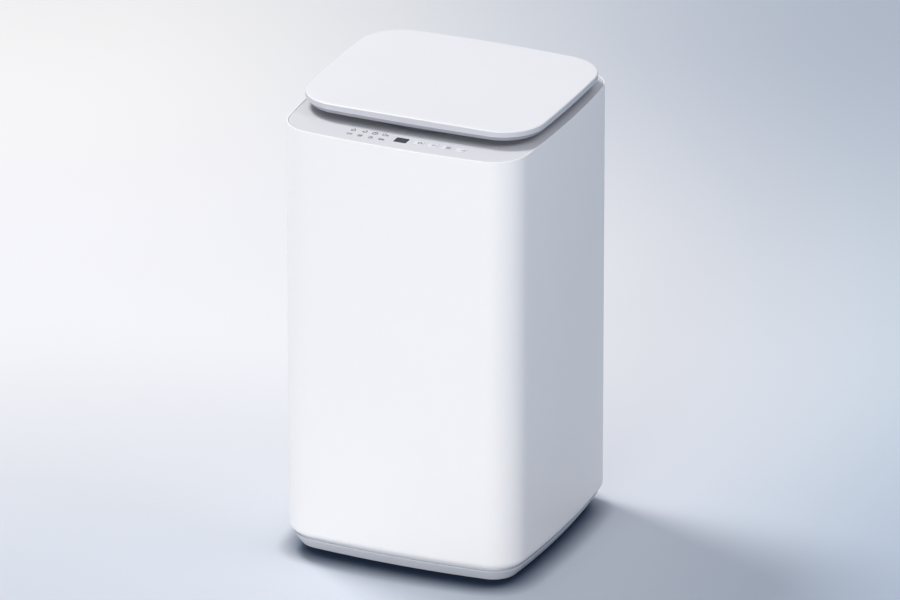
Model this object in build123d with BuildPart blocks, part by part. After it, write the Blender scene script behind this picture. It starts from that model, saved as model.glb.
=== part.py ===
from build123d import *
import os
from math import atan2, cos, degrees, hypot, radians, sin, sqrt

os.makedirs("parts", exist_ok=True)

# A small top-loading shoe washer. Millimetres, the front faces -Y, the floor is z = 0
# and the origin is at the middle of the footprint.

# Cabinet and plinth
cabinet_width = 390.0
cabinet_depth = 390.0
side_bulge = 9.8
corner_radius = 53.5
cabinet_wall = 2.4
cabinet_height = 650.5
edge_round = 13.5
flange_width = 10.0
ledge_width = 8.0
ledge_thickness = 3.5
rim_step = 0.5
foot_height = 12.0
plinth_height = 18.0
plinth_land = 2.5
land_wall = 4.0
plinth_foot_inset = 17.5
plinth_top_inset = 6.0
pan_thickness = 3.0
pan_rib_height = 6.0

# Feet
foot_inset = 65.0
foot_radius = 20.0
foot_boss_radius = 10.0
foot_boss_height = 16.0
foot_stud_radius = 4.0
foot_chamfer = 3.0
foot_nut_height = 6.0
levelling_chamfer = 2.0
levelling_spare = 10.0

# Deck and mouth
deck_thickness = 3.0
mouth_clearance = 3.0
mouth_wall = 3.5
collar_height = 6.5
neck_depth = 29.0
neck_flange = 6.0
neck_flange_thickness = 2.0
hole_clearance = 0.2
contact_gap = 0.1

# Lid and hinge
lid_side_inset = 5.0
lid_front_inset = 57.3
lid_back_inset = 16.1
lid_bulge = 5.0
lid_corner_radius = 66.0
lid_gap = 9.0
lid_lower_band = 7.5
lid_upper_band = 7.5
lid_crown = 4.0
lid_skin = 2.5
lid_undercut = 6.0
lid_step = 1.5
lid_floor_thickness = 2.0
hinge_setback = 10.0
hinge_drop = 8.0
hinge_spread = 100.0
hinge_ear_width = 12.0
knuckle_width = 10.0
knuckle_radius = 4.5
hinge_pin_radius = 2.0
bumper_radius = 5.0
magnet_inset = 40.0
magnet_setback = 68.9
magnet_radius = 5.0
magnet_thickness = 3.0
reed_width = 12.0
reed_length = 24.0
reed_depth = 9.0
reed_corner = 2.0

# Control strip
strip_inset = 33.5
key_width = 16.4
key_depth = 12.2
key_first_x = 27.0
key_pitch = 22.3
key_travel = 0.8
key_proud = 0.6
key_flange = 1.2
key_flange_thickness = 1.4
key_corner = 2.0
key_edge = 0.5
key_stem_radius = 2.5
key_stem_reach = 5.0
window_width = 20.0
window_depth = 17.0
window_thickness = 1.6
window_corner = 1.5
window_ledge = 1.5
tray_depth = 36.0
tray_height = 19.0
tray_wall = 2.0
tray_post_radius = 3.0
tray_post_inset = 7.0
board_thickness = 1.6
switch_height = 2.4
switch_width = 6.0

# Tub, drum and agitator
tub_front_clearance = 41.6
tub_back_clearance = 21.6
tub_side_clearance = 31.6
tub_wall = 3.0
tub_floor = 4.0
neck_gap = 4.5
tub_cover_thickness = 12.0
tub_flange = 4.0
tub_edge = 8.0
tub_rib_width = 4.0
tub_rib_inset = 6.0
hub_rib_radius = 60.0
cover_skirt = 3.0
cover_lip = 4.0
cover_edge = 1.5
skirt_height = 14.0
drum_clearance = 14.0
drum_wall = 1.2
drum_floor_gap = 12.0
drum_floor_thickness = 8.0
drum_rim_gap = 28.0
hole_radius = 2.6
hole_columns = 20
hole_rows = 6
holes_from_floor = 40.0
holes_from_rim = 20.0
floor_slots = 12
floor_slot_length = 24.0
floor_slot_width = 5.0
floor_slot_setback = 18.0
ring_width = 17.0
ring_height = 20.0
ring_overhang = 2.0
ring_edge = 4.0
tub_travel_down = 16.0
tub_travel_up = 6.0

disc_clearance = 40.0
disc_thickness = 9.0
vane_count = 6
vane_height = 11.0
vane_width = 10.0
vane_inset = 16.0
vane_shift = 4.0
vane_taper = 6.0
disc_rim = 3.0
cone_spread = 12.0
cone_taper = 35.0
column_base_radius = 26.0
column_radius = 20.0
column_drop = 113.0
bristle_radius = 44.0
bristle_end = 12.0
cap_radius = 26.0
cap_height = 18.0
cap_skirt = 4.0
core_flange = 6.0
strip_count = 5
strip_width = 24.0
strip_top_gap = 56.0
strip_thickness = 4.5
strip_bristle_depth = 12.0
strip_bristle_width = 16.0
strip_first_turn = 30.0
strip_arc = 300.0
strip_lift = 30.0
strip_end = 4.0
filter_width = 62.0
filter_height = 130.0
filter_depth = 9.0
filter_lift = 200.0
filter_frame = 10.0
filter_back = 3.0
rail_width = 3.0

# Shafts and drive
shaft_radius = 8.0
spin_tube_radius = 15.0
running_gap = 0.05
soft_gap = 0.3
working_gap = 1.0
clutch_radius = 42.0
clutch_height = 78.0
bearing_radius = 26.0
bearing_height = 12.0
plate_thickness = 3.0
plate_rib = 6.0
plate_inset = 40.0
boss_height = 6.0
plate_corner = 10.0
collar_wall = 3.0
collar_rise = 4.0
bearing_inset = 4.0
clutch_flange_width = 12.0
clutch_flange = 4.0
clutch_edge = 3.0
tube_clearance = 3.0
tube_flange_width = 6.0
tube_flange = 4.0
pulley_radius = 70.0
pulley_height = 14.0
motor_pulley_radius = 20.0
motor_offset = 118.0
motor_radius = 50.0
motor_height = 84.0
motor_shaft_radius = 6.0
belt_width = 8.0
belt_thickness = 5.0
pulley_drop = 50.0
pulley_clearance = 8.0
pulley_rim = 4.0
pulley_web = 5.0
pulley_hub_radius = 20.0
pulley_windows = 6
pulley_window_radius = 11.0
shaft_nut_height = 8.0
motor_cap = 4.0
motor_edge = 3.0
motor_flange = 8.0
motor_lug_reach = 55.0
motor_lug_width = 14.0
motor_hub_step = 6.0
motor_shaft_tip = 3.0
rotor_radius = 30.0
rotor_inset = 10.0
stator_inset = 8.0
belt_lift = 0.2
capacitor_radius = 17.0
capacitor_length = 60.0
capacitor_inset = 83.0
capacitor_front = 30.0
capacitor_lift = 3.0
capacitor_edge = 2.0
saddle_width = 26.0
saddle_length = 8.0
saddle_inset = 10.0
sleeve_radius = 24.0
sleeve_height = 12.0
sleeve_travel = 4.0
sleeve_groove = 3.0

# Suspension
rod_inset = 49.0
rod_radius = 2.5
rod_seat_radius = 15.0
rod_seat_thickness = 4.0
shelf_drop = 34.0
shelf_thickness = 6.0
shelf_overhang = 34.0
shelf_clearance = 12.0
rod_ball_radius = 8.0
rod_nut_height = 6.0
lug_rise = 74.0
lug_thickness = 12.0
lug_width = 30.0
cup_height = 12.0
cup_radius = 17.0
cup_roof = 3.0
spring_length = 66.0
spring_radius = 11.5
spring_wire = 2.6
spring_turns = 7

# Drain and water inlet
drain_x = 76.0
drain_offset = 95.0
valve_radius = 19.0
valve_wall = 2.5
valve_length = 62.0
valve_axis_drop = 34.0
hose_radius = 13.0
spigot_z = 80.0
spigot_flange = 6.0
spigot_setback = 2.0
elbow_turn_radius = 18.0
port_wall = 3.0
valve_shift = 8.0
valve_outlet = 3.0
bellows_folds = 6
bellows_wall = 2.0
fold_depth = 3.5
plunger_length = 30.0
traction_rod_radius = 2.5
spindle_radius = 4.0
spindle_gap = 8.0
spindle_wall = 4.0
spindle_collar = 3.0
arm_thickness = 4.0
arm_width = 10.0
arm_tip = 8.0
arm_slot = 8.0
arm_pin_radius = 2.0
actuator_width = 56.0
actuator_depth = 34.0
actuator_height = 40.0
actuator_setback = 17.0
actuator_corner = 4.0
traction_inset = 10.0
inlet_x = -76.0
inlet_drop = 27.5
inlet_thread_radius = 13.1
inlet_thread_length = 16.0
valve_body_width = 40.0
valve_body_depth = 22.0
coil_width = 32.0
coil_height = 18.0
spout_radius = 7.5
spout_wall = 2.0
spout_lip = 2.0
inlet_bore_radius = 9.5
neck_relief = 0.5
pocket_width = 52.0
pocket_height = 32.0
pocket_depth = 20.0
pocket_corner = 3.0
gland_x = 60.0
gland_drop = 39.5
gland_radius = 8.0
gland_bore_radius = 3.6
gland_flange = 2.0
gland_head = 4.0
gland_neck = 10.0
panel_side_inset = 85.0
panel_thickness = 2.0
panel_overlap = 7.0
panel_bottom = 46.0
panel_top_gap = 4.5
panel_corner = 10.0
panel_slack = 0.2
louvre_rows = 9
louvre_pitch = 14.0
louvre_length = 34.0
louvre_height = 5.0
louvre_rise = 40.0
screw_inset = 40.0
screw_radius = 1.75
screw_head_radius = 3.5
screw_head_height = 1.8
screw_length = 10.0

# Levels and places worked out from the sizes above
pan_z = foot_height
pan_floor_z = pan_z + pan_thickness
plinth_top_z = foot_height + plinth_height
land_z = plinth_top_z + plinth_land
rim_z = land_z + cabinet_height
deck_top_z = rim_z - rim_step
deck_bottom_z = deck_top_z - deck_thickness
foot_x = cabinet_width / 2 - foot_inset
foot_y = cabinet_depth / 2 - foot_inset
lid_half_width = cabinet_width / 2 - lid_side_inset
lid_half_depth = (cabinet_depth - lid_front_inset - lid_back_inset) / 2
lid_center_y = (lid_front_inset - lid_back_inset) / 2
lid_bottom_z = rim_z + lid_gap
lid_split_z = lid_bottom_z + lid_lower_band
lid_edge_z = lid_split_z + lid_upper_band
hinge_y = lid_center_y + lid_half_depth - hinge_setback
hinge_z = lid_edge_z - hinge_drop
collar_top_z = deck_top_z + collar_height
neck_bottom_z = deck_bottom_z - neck_depth
pulley_z = pan_floor_z + pan_rib_height + tub_travel_down + shaft_nut_height + pulley_clearance
clutch_bottom_z = pulley_z + pulley_drop
plate_z = clutch_bottom_z + clutch_height
tub_bottom = plate_z + plate_thickness + plate_rib
tub_rim_z = neck_bottom_z - neck_gap - tub_travel_up - tub_cover_thickness
tub_height = tub_rim_z - tub_bottom
tub_y = (tub_front_clearance - tub_back_clearance) / 2
tub_room_depth = cabinet_depth - tub_front_clearance - tub_back_clearance
tub_room_width = cabinet_width - 2 * tub_side_clearance
tub_radius = min(tub_room_depth, tub_room_width) / 2 - cabinet_wall - tub_wall
drum_radius = tub_radius - drum_clearance
ring_inner_radius = drum_radius - ring_width
mouth_radius = ring_inner_radius - mouth_clearance
tub_cover_radius = ring_inner_radius + mouth_clearance
disc_radius = drum_radius - disc_clearance
plate_radius = tub_radius - plate_inset
tub_rib_radius = plate_radius - tub_rib_inset
drum_floor_z = tub_bottom + tub_floor + drum_floor_gap
drum_floor_top_z = drum_floor_z + drum_floor_thickness
drum_rim_z = tub_rim_z - drum_rim_gap
drum_height = drum_rim_z - drum_floor_z
strip_length = drum_height - drum_floor_thickness - strip_lift - strip_top_gap
disc_z = drum_floor_top_z + 3 * working_gap
disc_top_z = disc_z + disc_thickness
column_z = disc_top_z + vane_height
column_top_z = drum_rim_z - column_drop
column_height = column_top_z - column_z
bristle_length = column_height - 2 * bristle_end
valve_z = tub_bottom - valve_axis_drop
shelf_z = deck_bottom_z - shelf_drop
strip_y = strip_inset - cabinet_depth / 2
drain_y = tub_y + drain_offset
inlet_z = deck_bottom_z - inlet_drop
gland_z = deck_bottom_z - gland_drop
panel_width = cabinet_width - 2 * panel_side_inset
panel_height = deck_bottom_z - panel_top_gap - panel_bottom
rod_x = cabinet_width / 2 - rod_inset
rod_y = cabinet_depth / 2 - rod_inset
lug_z = tub_bottom + lug_rise
cup_z = lug_z - cup_height
spring_top_z = cup_z + cup_height - cup_roof
rod_seat_z = spring_top_z - spring_length - rod_seat_thickness
tray_z = deck_bottom_z - tray_height
key_last_x = key_first_x + 3 * key_pitch
tray_width = 2 * (key_last_x + key_width / 2 + key_flange + 2 * working_gap + tray_wall)
key_bottom_z = deck_bottom_z - working_gap / 2
switch_top_z = key_bottom_z - key_stem_reach
board_z = switch_top_z - switch_height - board_thickness
spout_z = neck_bottom_z + spout_radius + spout_wall
coil_inner_x = inlet_x + coil_width / 2
coil_front_y = tub_y + sqrt((mouth_radius + mouth_wall + 3 * working_gap) ** 2 - coil_inner_x ** 2)
spout_turn = degrees(atan2(coil_front_y - tub_y, inlet_x))
key_places = [(key_first_x + i * key_pitch, strip_y) for i in range(4)]
rod_places = [(x, y) for x in (-rod_x, rod_x) for y in (-rod_y, rod_y)]


def soft_square(half_x, half_y, bulge, radius):
    """A square whose sides bow out by bulge and whose corners are rounded."""
    corner_x = half_x - bulge
    corner_y = half_y - bulge
    with BuildSketch() as outline:
        with BuildLine():
            ThreePointArc((-corner_x, -corner_y), (0, -half_y), (corner_x, -corner_y))
            ThreePointArc((corner_x, -corner_y), (half_x, 0), (corner_x, corner_y))
            ThreePointArc((corner_x, corner_y), (0, half_y), (-corner_x, corner_y))
            ThreePointArc((-corner_x, corner_y), (-half_x, 0), (-corner_x, -corner_y))
        make_face()
        fillet(outline.vertices(), radius)
    return outline.sketch


def cabinet_outline(inset):
    """The cabinet's plan, drawn in by inset."""
    half_x = cabinet_width / 2 - inset
    half_y = cabinet_depth / 2 - inset
    return soft_square(half_x, half_y, side_bulge, corner_radius - inset)


def lid_outline(inset):
    """The lid's plan, drawn in by inset."""
    half_x = lid_half_width - inset
    half_y = lid_half_depth - inset
    flat = soft_square(half_x, half_y, lid_bulge, lid_corner_radius - inset)
    return flat.moved(Location((0, lid_center_y, 0)))


def level(z):
    """A level plane with its centre on the tub's axis."""
    return Plane((0, tub_y, z))


def back_of_cabinet(x, inset):
    """How far back the rear wall lies at x, drawn in by inset."""
    half = cabinet_width / 2 - side_bulge
    bow_radius = (half ** 2 + side_bulge ** 2) / (2 * side_bulge)
    return cabinet_depth / 2 - inset - bow_radius + sqrt(bow_radius ** 2 - x ** 2)


# Cabinet shell: one wrap with a rounded lower edge, a flange to stand on and a ledge for the deck
shell_outer = cabinet_outline(0)
shell_inner = cabinet_outline(cabinet_wall)
flange_inner = cabinet_outline(edge_round + flange_width)
ledge_outer = cabinet_outline(cabinet_wall / 2)
ledge_inner = cabinet_outline(cabinet_wall + ledge_width)
panel_back_y = back_of_cabinet(panel_width / 2, cabinet_wall) - panel_slack
panel_front_y = panel_back_y - panel_thickness
panel_middle_z = panel_bottom + panel_height / 2
opening_width = panel_width - 2 * panel_overlap
opening_height = panel_height - 2 * panel_overlap
screw_columns = panel_width - panel_overlap
screw_pitch = panel_height / 2 - screw_inset
with BuildPart() as cabinet_cavity:
    with BuildSketch(Plane.XY.offset(land_z + cabinet_wall)):
        add(shell_inner)
    extrude(amount=cabinet_height)
    fillet(cabinet_cavity.faces().sort_by(Axis.Z)[0].edges(), edge_round - cabinet_wall)
with BuildPart() as cabinet_shell:
    with BuildSketch(Plane.XY.offset(land_z)):
        add(shell_outer)
    extrude(amount=cabinet_height)
    fillet(cabinet_shell.faces().sort_by(Axis.Z)[0].edges(), edge_round)
    add(cabinet_cavity.part, mode=Mode.SUBTRACT)
    with BuildSketch(Plane.XY.offset(land_z)):
        add(flange_inner)
    extrude(amount=cabinet_wall, mode=Mode.SUBTRACT)
    with BuildSketch(Plane.XY.offset(deck_bottom_z - ledge_thickness)):
        add(ledge_outer)
        add(ledge_inner, mode=Mode.SUBTRACT)
    extrude(amount=ledge_thickness)
    with BuildSketch(Plane.XZ.offset(-cabinet_depth / 2)):
        with Locations((0, panel_middle_z)):
            RectangleRounded(opening_width, opening_height, panel_corner)
    extrude(amount=2 * edge_round, mode=Mode.SUBTRACT)
    with BuildSketch(Plane.XZ.offset(-cabinet_depth / 2)):
        with Locations((0, panel_middle_z)):
            with GridLocations(screw_columns, screw_pitch, 2, 3):
                Circle(screw_radius + running_gap)
    extrude(amount=2 * edge_round, mode=Mode.SUBTRACT)
cabinet_shell.part.label = "cabinet_shell"
export_step(cabinet_shell.part, "parts/cabinet_shell.step")

# Plinth: a tapered band with a land for the cabinet, a ribbed floor pan and bosses for the feet
plinth_foot = cabinet_outline(plinth_foot_inset)
plinth_top = cabinet_outline(plinth_top_inset)
land_outer = cabinet_outline(edge_round - plinth_land)
pan_inner = cabinet_outline(edge_round + flange_width + land_wall)
foot_places = [(x, y) for x in (-foot_x, foot_x) for y in (-foot_y, foot_y)]
rib_turn = degrees(atan2(foot_y, foot_x))
rib_length = 2 * (hypot(foot_x, foot_y) - foot_boss_radius)
with BuildPart() as base_plinth:
    with BuildSketch(Plane.XY.offset(pan_z)):
        add(plinth_foot)
    with BuildSketch(Plane.XY.offset(plinth_top_z)):
        add(plinth_top)
    loft(ruled=True)
    with BuildSketch(Plane.XY.offset(plinth_top_z)):
        add(land_outer)
    extrude(amount=plinth_land)
    with BuildSketch(Plane.XY.offset(pan_floor_z)):
        add(pan_inner)
    extrude(amount=land_z - pan_floor_z, mode=Mode.SUBTRACT)
    with BuildSketch(Plane.XY.offset(pan_floor_z)):
        with Locations(*foot_places):
            Circle(foot_boss_radius)
    extrude(amount=foot_boss_height)
    with BuildSketch(Plane.XY.offset(pan_floor_z)):
        Rectangle(rib_length, pan_thickness, rotation=rib_turn)
        Rectangle(rib_length, pan_thickness, rotation=-rib_turn)
    extrude(amount=pan_rib_height)
    with BuildSketch(Plane.XY.offset(pan_z)):
        with Locations(*foot_places):
            Circle(foot_stud_radius + running_gap)
    extrude(amount=foot_boss_height + pan_thickness, mode=Mode.SUBTRACT)
base_plinth.part.label = "base_plinth"
export_step(base_plinth.part, "parts/base_plinth.step")

# Three plain rubber feet and one that screws up and down
plain_feet = [place for place in foot_places if place != (foot_x, -foot_y)]
with BuildPart() as rubber_feet:
    with BuildSketch():
        with Locations(*plain_feet):
            Circle(foot_radius)
    extrude(amount=foot_height)
    chamfer(rubber_feet.faces().sort_by(Axis.Z)[-3:].edges(), foot_chamfer)
    with BuildSketch(Plane.XY.offset(foot_height)):
        with Locations(*plain_feet):
            Circle(foot_stud_radius)
    extrude(amount=foot_boss_height)
rubber_feet.part.label = "rubber_feet"
export_step(rubber_feet.part, "parts/rubber_feet.step")

with BuildPart() as levelling_foot:
    with BuildSketch(Plane((foot_x, -foot_y, 0))):
        Circle(foot_radius)
    extrude(amount=foot_height - foot_nut_height)
    chamfer(levelling_foot.faces().sort_by(Axis.Z)[-1].edges(), levelling_chamfer)
    with BuildSketch(Plane((foot_x, -foot_y, foot_height - foot_nut_height))):
        RegularPolygon(2 * foot_stud_radius, 6)
    extrude(amount=foot_nut_height - working_gap / 2)
    with BuildSketch(Plane((foot_x, -foot_y, foot_height - foot_nut_height))):
        Circle(foot_stud_radius)
    extrude(amount=foot_nut_height + pan_thickness + foot_boss_height + levelling_spare / 2)
levelling_foot.part.label = "levelling_foot"
export_step(levelling_foot.part, "parts/levelling_foot.step")

# Deck: plate on the cabinet's ledge with hinge ears and holes for the mouth ring and the keys
deck_outline = cabinet_outline(cabinet_wall + soft_gap)
ear_places = [(-hinge_spread, hinge_y), (hinge_spread, hinge_y)]
spout_plane = Plane((0, tub_y, spout_z), x_dir=(0, 0, 1),
                    z_dir=(cos(radians(spout_turn)), sin(radians(spout_turn)), 0))
with BuildPart() as top_deck:
    with BuildSketch(Plane.XY.offset(deck_bottom_z)):
        add(deck_outline)
    extrude(amount=deck_thickness)
    with BuildSketch(level(deck_bottom_z)):
        Circle(mouth_radius + mouth_wall + running_gap)
    extrude(amount=deck_thickness, mode=Mode.SUBTRACT)
    with BuildSketch(Plane.XY.offset(deck_top_z)):
        with Locations(*ear_places):
            Rectangle(hinge_ear_width, 2 * knuckle_radius)
    extrude(amount=hinge_z - deck_top_z)
    for side in (-1, 1):
        with BuildSketch(Plane.YZ.offset(side * hinge_spread - hinge_ear_width / 2)):
            with Locations((hinge_y, hinge_z)):
                Circle(knuckle_radius)
        extrude(amount=hinge_ear_width)
        with BuildSketch(Plane.YZ.offset(side * hinge_spread - hinge_ear_width / 2)):
            with Locations((hinge_y, hinge_z)):
                Circle(hinge_pin_radius)
        extrude(amount=hinge_ear_width, mode=Mode.SUBTRACT)
    with BuildSketch(Plane.XY.offset(deck_bottom_z)):
        with Locations(*key_places):
            RectangleRounded(key_width + 2 * soft_gap, key_depth + 2 * soft_gap, key_corner + soft_gap)
        with Locations((0, strip_y)):
            RectangleRounded(window_width - 2 * window_ledge, window_depth - 2 * window_ledge, window_ledge)
    extrude(amount=deck_thickness, mode=Mode.SUBTRACT)
    with BuildSketch(Plane.XY.offset(deck_top_z)):
        with Locations((0, strip_y)):
            RectangleRounded(window_width + hole_clearance, window_depth + hole_clearance, window_corner)
    extrude(amount=-window_thickness, mode=Mode.SUBTRACT)
top_deck.part.label = "top_deck"
export_step(top_deck.part, "parts/top_deck.step")

# Mouth ring: a collar over the deck, a flange against its underside and a neck with the spout's hole
with BuildPart() as mouth_ring:
    with BuildSketch(level(neck_bottom_z)):
        Circle(mouth_radius + mouth_wall)
    extrude(amount=collar_top_z - neck_bottom_z)
    with BuildSketch(level(deck_bottom_z)):
        Circle(mouth_radius + mouth_wall + neck_flange)
    extrude(amount=-neck_flange_thickness)
    with BuildSketch(level(neck_bottom_z)):
        Circle(mouth_radius)
    extrude(amount=collar_top_z - neck_bottom_z, mode=Mode.SUBTRACT)
    fillet(mouth_ring.faces().sort_by(Axis.Z)[-1].edges(), mouth_wall / 3)
    with BuildSketch(spout_plane.offset(mouth_radius - mouth_wall)):
        Circle(spout_radius + hole_clearance)
    extrude(amount=3 * mouth_wall, mode=Mode.SUBTRACT)
mouth_ring.part.label = "mouth_ring"
export_step(mouth_ring.part, "parts/mouth_ring.step")

# Rubber bumpers on the collar that the closed lid rests on
with BuildPart() as lid_bumpers:
    with BuildSketch(level(deck_top_z)):
        with PolarLocations(mouth_radius + mouth_wall + bumper_radius + contact_gap, 4, 45):
            Circle(bumper_radius)
    extrude(amount=lid_bottom_z - deck_top_z - contact_gap)
lid_bumpers.part.label = "lid_bumpers"
export_step(lid_bumpers.part, "parts/lid_bumpers.step")

# Lid liner: a tray whose outer wall flares up from an undercut, with hinge knuckles
liner_foot = lid_outline(lid_undercut)
liner_top = lid_outline(lid_step)
liner_inner = lid_outline(lid_undercut + lid_skin)
notch_back_y = lid_center_y + lid_half_depth
notch_front_y = hinge_y - knuckle_radius - working_gap
notch_width = hinge_ear_width + 2 * working_gap
notch_top_z = hinge_z + knuckle_radius + 0.8 * working_gap
knuckle_offset = (hinge_ear_width + knuckle_width) / 2 + soft_gap
lid_floor_top_z = lid_bottom_z + lid_floor_thickness
notch_depth = notch_back_y - notch_front_y + hinge_setback
notch_places = [(x, notch_front_y + notch_depth / 2) for x, y in ear_places]
with BuildPart() as hinge_notches:
    with BuildSketch(Plane.XY.offset(lid_bottom_z - working_gap)):
        with Locations(*notch_places):
            Rectangle(notch_width, notch_depth)
    extrude(amount=notch_top_z - lid_bottom_z + working_gap)
with BuildPart() as lid_liner:
    with BuildSketch(Plane.XY.offset(lid_bottom_z)):
        add(liner_foot)
    with BuildSketch(Plane.XY.offset(lid_split_z)):
        add(liner_top)
    loft(ruled=True)
    with BuildSketch(Plane.XY.offset(lid_floor_top_z)):
        add(liner_inner)
    extrude(amount=lid_split_z - lid_floor_top_z, mode=Mode.SUBTRACT)
    for side in (-1, 1):
        for step in (-knuckle_offset, knuckle_offset):
            start = side * hinge_spread + step - knuckle_width / 2
            with BuildSketch(Plane.YZ.offset(start)):
                with Locations((hinge_y, hinge_z)):
                    Circle(knuckle_radius)
                with Locations((hinge_y, (hinge_z + lid_floor_top_z) / 2)):
                    Rectangle(2 * knuckle_radius, hinge_z - lid_floor_top_z)
            extrude(amount=knuckle_width)
            with BuildSketch(Plane.YZ.offset(start)):
                with Locations((hinge_y, hinge_z)):
                    Circle(hinge_pin_radius + running_gap)
            extrude(amount=knuckle_width, mode=Mode.SUBTRACT)
    add(hinge_notches.part, mode=Mode.SUBTRACT)
lid_liner.part.label = "lid_liner"
export_step(lid_liner.part, "parts/lid_liner.step")

# Lid top: a crowned skin with the upper side band
crown_reach = hypot(lid_half_width, lid_half_depth)
crown_radius = (crown_reach ** 2 + lid_crown ** 2) / (2 * lid_crown)
crown_z = lid_edge_z + lid_crown - crown_radius
lid_top_outer = lid_outline(0)
lid_top_inner = lid_outline(lid_skin)
crown_center = Location((0, lid_center_y, crown_z), (90, 0, 0))
crown_outer = Sphere(crown_radius, mode=Mode.PRIVATE).moved(crown_center)
crown_inner = Sphere(crown_radius - lid_skin, mode=Mode.PRIVATE).moved(crown_center)
with BuildPart() as lid_cavity:
    with BuildSketch(Plane.XY.offset(lid_split_z - working_gap)):
        add(lid_top_inner)
    extrude(amount=lid_upper_band + lid_crown)
    add(crown_inner, mode=Mode.INTERSECT)
with BuildPart() as lid_top:
    with BuildSketch(Plane.XY.offset(lid_split_z)):
        add(lid_top_outer)
    extrude(amount=lid_upper_band + 2 * lid_crown)
    add(crown_outer, mode=Mode.INTERSECT)
    fillet(lid_top.faces().sort_by(Axis.Z)[-1].edges(), lid_skin - soft_gap)
    add(lid_cavity.part, mode=Mode.SUBTRACT)
    add(hinge_notches.part, mode=Mode.SUBTRACT)
lid_top.part.label = "lid_top"
export_step(lid_top.part, "parts/lid_top.step")

# Two steel hinge pins, each through a deck ear and the lid's knuckles on either side
pin_length = hinge_ear_width + 2 * (knuckle_width + soft_gap)
with BuildPart() as hinge_pins:
    for side in (-1, 1):
        with BuildSketch(Plane.YZ.offset(side * hinge_spread - pin_length / 2)):
            with Locations((hinge_y, hinge_z)):
                Circle(hinge_pin_radius)
        extrude(amount=pin_length)
hinge_pins.part.label = "hinge_pins"
export_step(hinge_pins.part, "parts/hinge_pins.step")

# Magnet in the lid and the reed switch under the deck that it works
magnet_place = (lid_half_width - magnet_inset, hinge_y - magnet_setback)
with BuildPart() as lid_magnet:
    with BuildSketch(Plane.XY.offset(lid_floor_top_z)):
        with Locations(magnet_place):
            Circle(magnet_radius)
    extrude(amount=magnet_thickness)
lid_magnet.part.label = "lid_magnet"
export_step(lid_magnet.part, "parts/lid_magnet.step")

with BuildPart() as lid_switch:
    with BuildSketch(Plane.XY.offset(deck_bottom_z)):
        with Locations(magnet_place):
            Rectangle(reed_width, reed_length)
    extrude(amount=-reed_depth)
    fillet(lid_switch.edges().filter_by(Axis.Z), reed_corner)
lid_switch.part.label = "lid_switch"
export_step(lid_switch.part, "parts/lid_switch.step")

# Four keys, each with a flange under the deck and a stem over its switch
key_names = ["power_key", "start_key", "program_key", "level_key"]
for key_name, place in zip(key_names, key_places):
    with BuildPart() as key:
        with BuildSketch(Plane.XY.offset(key_bottom_z)):
            with Locations(place):
                RectangleRounded(key_width, key_depth, key_corner)
        extrude(amount=deck_top_z + key_proud - key_bottom_z)
        fillet(key.faces().sort_by(Axis.Z)[-1].edges(), key_edge)
        with BuildSketch(Plane.XY.offset(key_bottom_z)):
            with Locations(place):
                RectangleRounded(key_width + 2 * key_flange, key_depth + 2 * key_flange, key_corner)
        extrude(amount=-key_flange_thickness)
        with BuildSketch(Plane.XY.offset(key_bottom_z)):
            with Locations(place):
                Circle(key_stem_radius)
        extrude(amount=-(key_stem_reach - key_travel - contact_gap))
    key.part.label = key_name
    export_step(key.part, f"parts/{key_name}.step")

with BuildPart() as display_window:
    with BuildSketch(Plane.XY.offset(deck_top_z)):
        with Locations((0, strip_y)):
            RectangleRounded(window_width, window_depth, window_corner)
    extrude(amount=-window_thickness)
display_window.part.label = "display_window"
export_step(display_window.part, "parts/display_window.step")

# Tray under the control strip, and the board in it with its switches and display
with BuildPart() as control_tray:
    with BuildSketch(Plane((0, strip_y, tray_z))):
        RectangleRounded(tray_width, tray_depth, 2 * tray_wall)
    extrude(amount=tray_height)
    with BuildSketch(Plane((0, strip_y, tray_z + tray_wall))):
        RectangleRounded(tray_width - 2 * tray_wall, tray_depth - 2 * tray_wall, tray_wall)
    extrude(amount=tray_height, mode=Mode.SUBTRACT)
    with BuildSketch(Plane((0, strip_y, tray_z + tray_wall))):
        with GridLocations(tray_width - 2 * tray_post_inset, tray_depth - 2 * tray_post_inset, 2, 2):
            Circle(tray_post_radius)
    extrude(amount=board_z - tray_z - tray_wall)
control_tray.part.label = "control_tray"
export_step(control_tray.part, "parts/control_tray.step")

display_width = window_width - 2 * window_ledge - working_gap
display_depth = window_depth - 2 * window_ledge - working_gap
with BuildPart() as control_board:
    with BuildSketch(Plane((0, strip_y, board_z))):
        Rectangle(tray_width - 2 * (tray_wall + working_gap), tray_depth - 2 * (tray_wall + working_gap))
    extrude(amount=board_thickness)
    with BuildSketch(Plane.XY.offset(board_z + board_thickness)):
        with Locations(*key_places):
            Rectangle(switch_width, switch_width)
    extrude(amount=switch_height)
    with BuildSketch(Plane((0, strip_y, board_z + board_thickness))):
        Rectangle(display_width, display_depth)
    extrude(amount=deck_bottom_z - board_z - board_thickness - working_gap / 2)
control_board.part.label = "control_board"
export_step(control_board.part, "parts/control_board.step")

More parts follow.
